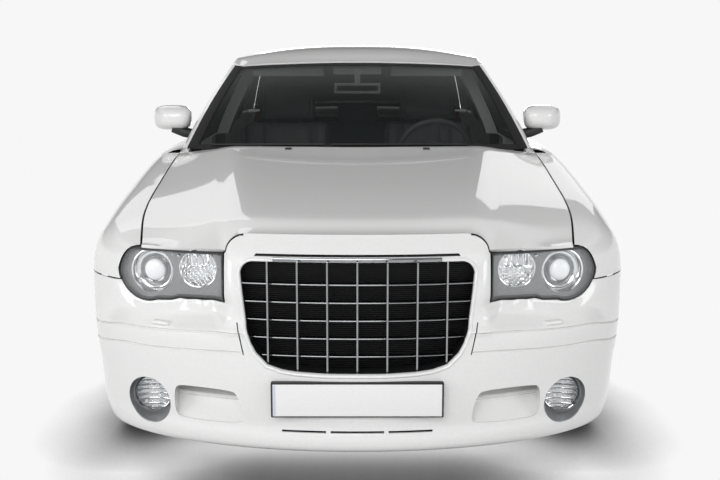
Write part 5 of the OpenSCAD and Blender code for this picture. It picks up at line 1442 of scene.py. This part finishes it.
HELM_R, HELM_TILT = 181, 24
PAD = [(0, TIP), (0, 70), (8, 76), (36, 76), (46, 70), (54, 50), (57, 24), (58, TIP)]
rim_path = [(HELM_R * math.cos(a), HELM_R * math.sin(a), 0) for a in (math.tau * i / 96 for i in range(96))]
parts = [sweep("rim", rim_path, round_section(27, 29, 16), closed=True)]
for a in (0, 90, 180, 270):
    c, d = math.cos(math.radians(a)), math.sin(math.radians(a))
    path = [(r * c, r * d, -14 + 10 * u) for u, r in zip(steps(0, 1, 8), steps(56, 172, 8))]
    parts.append(sweep("spoke", path, round_section(44, 16, 16, 3)))
parts.append(set_at(lathe("pad", PAD, (0, 0, 0), "x", 64), (0, 0, -46), -math.pi / 2, "Y"))
helm = set_at(joined("helm", parts), (SEAT_X, COWL + 880, 935), math.radians(HELM_TILT - 90), "X")
fit(helm, leather, "steering_wheel", stands_for=["steering_wheel"])

inner_mirror = soft_block("inner_mirror", -112, 112, HEADER - 104, HEADER - 76, 1240, 1290, 12)
fit(inner_mirror, abs_grey)

# Wipers and washer jets
for name, x0, x1, u0, u1 in (("wiper_left", 480, -110, 0.66, 0.0), ("wiper_right", -140, -640, -0.12, -0.86)):
    path = []
    for u in steps(0, 1, 20):
        _, s, z = windscreen_point(lerp(u0, u1, u), 0.03)
        path.append((lerp(x0, x1, u), s - 18, z + 6))
    fit(sweep(name, path, round_section(14, 10, 10)), abs_black)
JET_S = 1360
for name, x in (("washer_jet_left", 290), ("washer_jet_right", -290)):
    z = bonnet_z(x, JET_S)
    jet = soft_block(name, x - 14, x + 14, JET_S - 9, JET_S + 9, z - 3, z + 7, 3)
    fit(jet, abs_black, "bonnet")

# CAD nodes that stay get their finishes
KEPT = {"floor_pan": carpet, "rockers": enamel, "radiator": abs_black, "steering_column": abs_black,
        "cowl_panel": abs_black, "overhead_trim": abs_grey, "engine": cast_block, "exhaust": stainless,
        "front_axle_frame": chassis_paint, "rear_axle_frame": chassis_paint, "knuckle_left": chassis_paint,
        "knuckle_right": chassis_paint}
for name, material in KEPT.items():
    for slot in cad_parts[name].material_slots:
        slot.material = material


# Floor, world, lamps, camera
def seen_directly(tree):
    """1 for rays from the camera, off gloss or through glass, and 0 for the light that falls on the car."""
    ray = add(tree, "ShaderNodeLightPath").outputs
    seen = ray["Is Camera Ray"]
    for kind in ("Is Glossy Ray", "Is Transmission Ray"):
        seen = add(tree, "ShaderNodeMath", {0: seen, 1: ray[kind]}, operation="MAXIMUM").outputs["Value"]
    return seen


def mixed(tree, factor, a, b):
    return add(tree, "ShaderNodeMix", {"Factor": factor, "A": a, "B": b}, data_type="RGBA").outputs["Result"]


FLOOR_HALF = 30000
floor = form("floor", [(x * FLOOR_HALF, s * FLOOR_HALF, 0) for x, s in ((-1, -1), (1, -1), (1, 1), (-1, 1))],
             [(0, 1, 2, 3)])
ground = bpy.data.materials.new("pale_floor")
ground.use_nodes = True
tree = ground.node_tree
tree.nodes.clear()
# Painted shadow: seen directly, the floor glows near white and is darkened towards #303030 by ambient
# occlusion near the car, a painted contact shadow; light that falls on the car bounces off a grey diffuse
near = add(tree, "ShaderNodeAmbientOcclusion", {"Distance": 0.32}, samples=16)
deep = add(tree, "ShaderNodeMath", {0: near.outputs["AO"], 1: 2.5}, operation="POWER")
shade = mixed(tree, deep.outputs["Value"], srgb("#303030"), srgb("#f7f7f7"))
matt = add(tree, "ShaderNodeBsdfDiffuse", {"Color": srgb("#b4b4b4")})
painted_shadow_glow = add(tree, "ShaderNodeEmission", {"Color": shade, "Strength": 1.0})
blend = add(tree, "ShaderNodeMixShader",
            {"Fac": seen_directly(tree), 1: matt.outputs["BSDF"], 2: painted_shadow_glow.outputs["Emission"]})
add(tree, "ShaderNodeOutputMaterial", {"Surface": blend.outputs["Shader"]})
floor.data.materials.append(ground)

world = bpy.data.worlds.new("studio")
scene.world = world
world.use_nodes = True
tree = world.node_tree
tree.nodes.clear()
where = add(tree, "ShaderNodeTexCoord").outputs["Generated"]
split = add(tree, "ShaderNodeSeparateXYZ", {"Vector": where})
rise = add(tree, "ShaderNodeMapRange", {"Value": split.outputs["Z"], "From Min": 0.15, "From Max": 0.8},
           interpolation_type="SMOOTHSTEP")
front = add(tree, "ShaderNodeMapRange", {"Value": split.outputs["Y"], "From Min": 0.5, "From Max": -0.8})
low = mixed(tree, front.outputs["Result"], srgb("#8a8a8a"), srgb("#f4f4f4"))
sky = mixed(tree, rise.outputs["Result"], low, srgb("#9c9c9c"))
pale = add(tree, "ShaderNodeValToRGB", {"Fac": split.outputs["Z"]})
for at, code in ((0.2, "#666666"), (0.5, "#6a6a6a"), (0.6, "#e0e0e0"), (0.68, "#e0e0e0")):
    pale.color_ramp.elements.new(at).color = srgb(code)
pale.color_ramp.elements[0].position, pale.color_ramp.elements[0].color = 0.1, srgb("#f7f7f7")
pale.color_ramp.elements[-1].position, pale.color_ramp.elements[-1].color = 0.8, srgb("#585858")
back = mixed(tree, seen_directly(tree), sky, pale.outputs["Color"])
light = add(tree, "ShaderNodeBackground", {"Color": back, "Strength": 1.0})
add(tree, "ShaderNodeOutputWorld", {"Surface": light.outputs["Background"]})


def lamp(name, at, aim, size, power):
    data = bpy.data.lights.new(name, "AREA")
    data.shape, data.size, data.size_y, data.energy = "RECTANGLE", size[0], size[1], power
    obj = bpy.data.objects.new(name, data)
    scene.collection.objects.link(obj)
    obj.location = at
    obj.rotation_euler = (Vector(aim) - Vector(at)).to_track_quat("-Z", "Y").to_euler()


lamp("front_box", (-1.5, -8.5, 4.2), (0, -1.5, 0.6), (5, 3), 215)
lamp("left_box", (-6.5, -5.5, 2.6), (-0.5, -2.0, 0.7), (3, 2.4), 105)
lamp("right_box", (6.5, -5.5, 2.6), (0.5, -2.0, 0.7), (3, 2.4), 85)
lamp("rear_box", (0.6, 8.5, 1.4), (0, 2.4, 0.75), (4, 2), 90)
lamp("back_left_box", (-2.9, 5.5, 5.0), (-0.3, -1.5, 0.9), (2.6, 2.7), 24)
lamp("back_right_box", (2.7, 5.5, 3.1), (0.3, -1.5, 0.9), (2.0, 1.9), 14)

camera = bpy.data.cameras.new("camera")
camera.lens, camera.sensor_width, camera.shift_x = 53.2, 36, 0.0037
CAMERA_DIP = 9.54
eye = bpy.data.objects.new("camera", camera)
scene.collection.objects.link(eye)
eye.location = (0, -5.607, 1.395)
eye.rotation_euler = (math.radians(90 - CAMERA_DIP), 0, 0)
scene.camera = eye
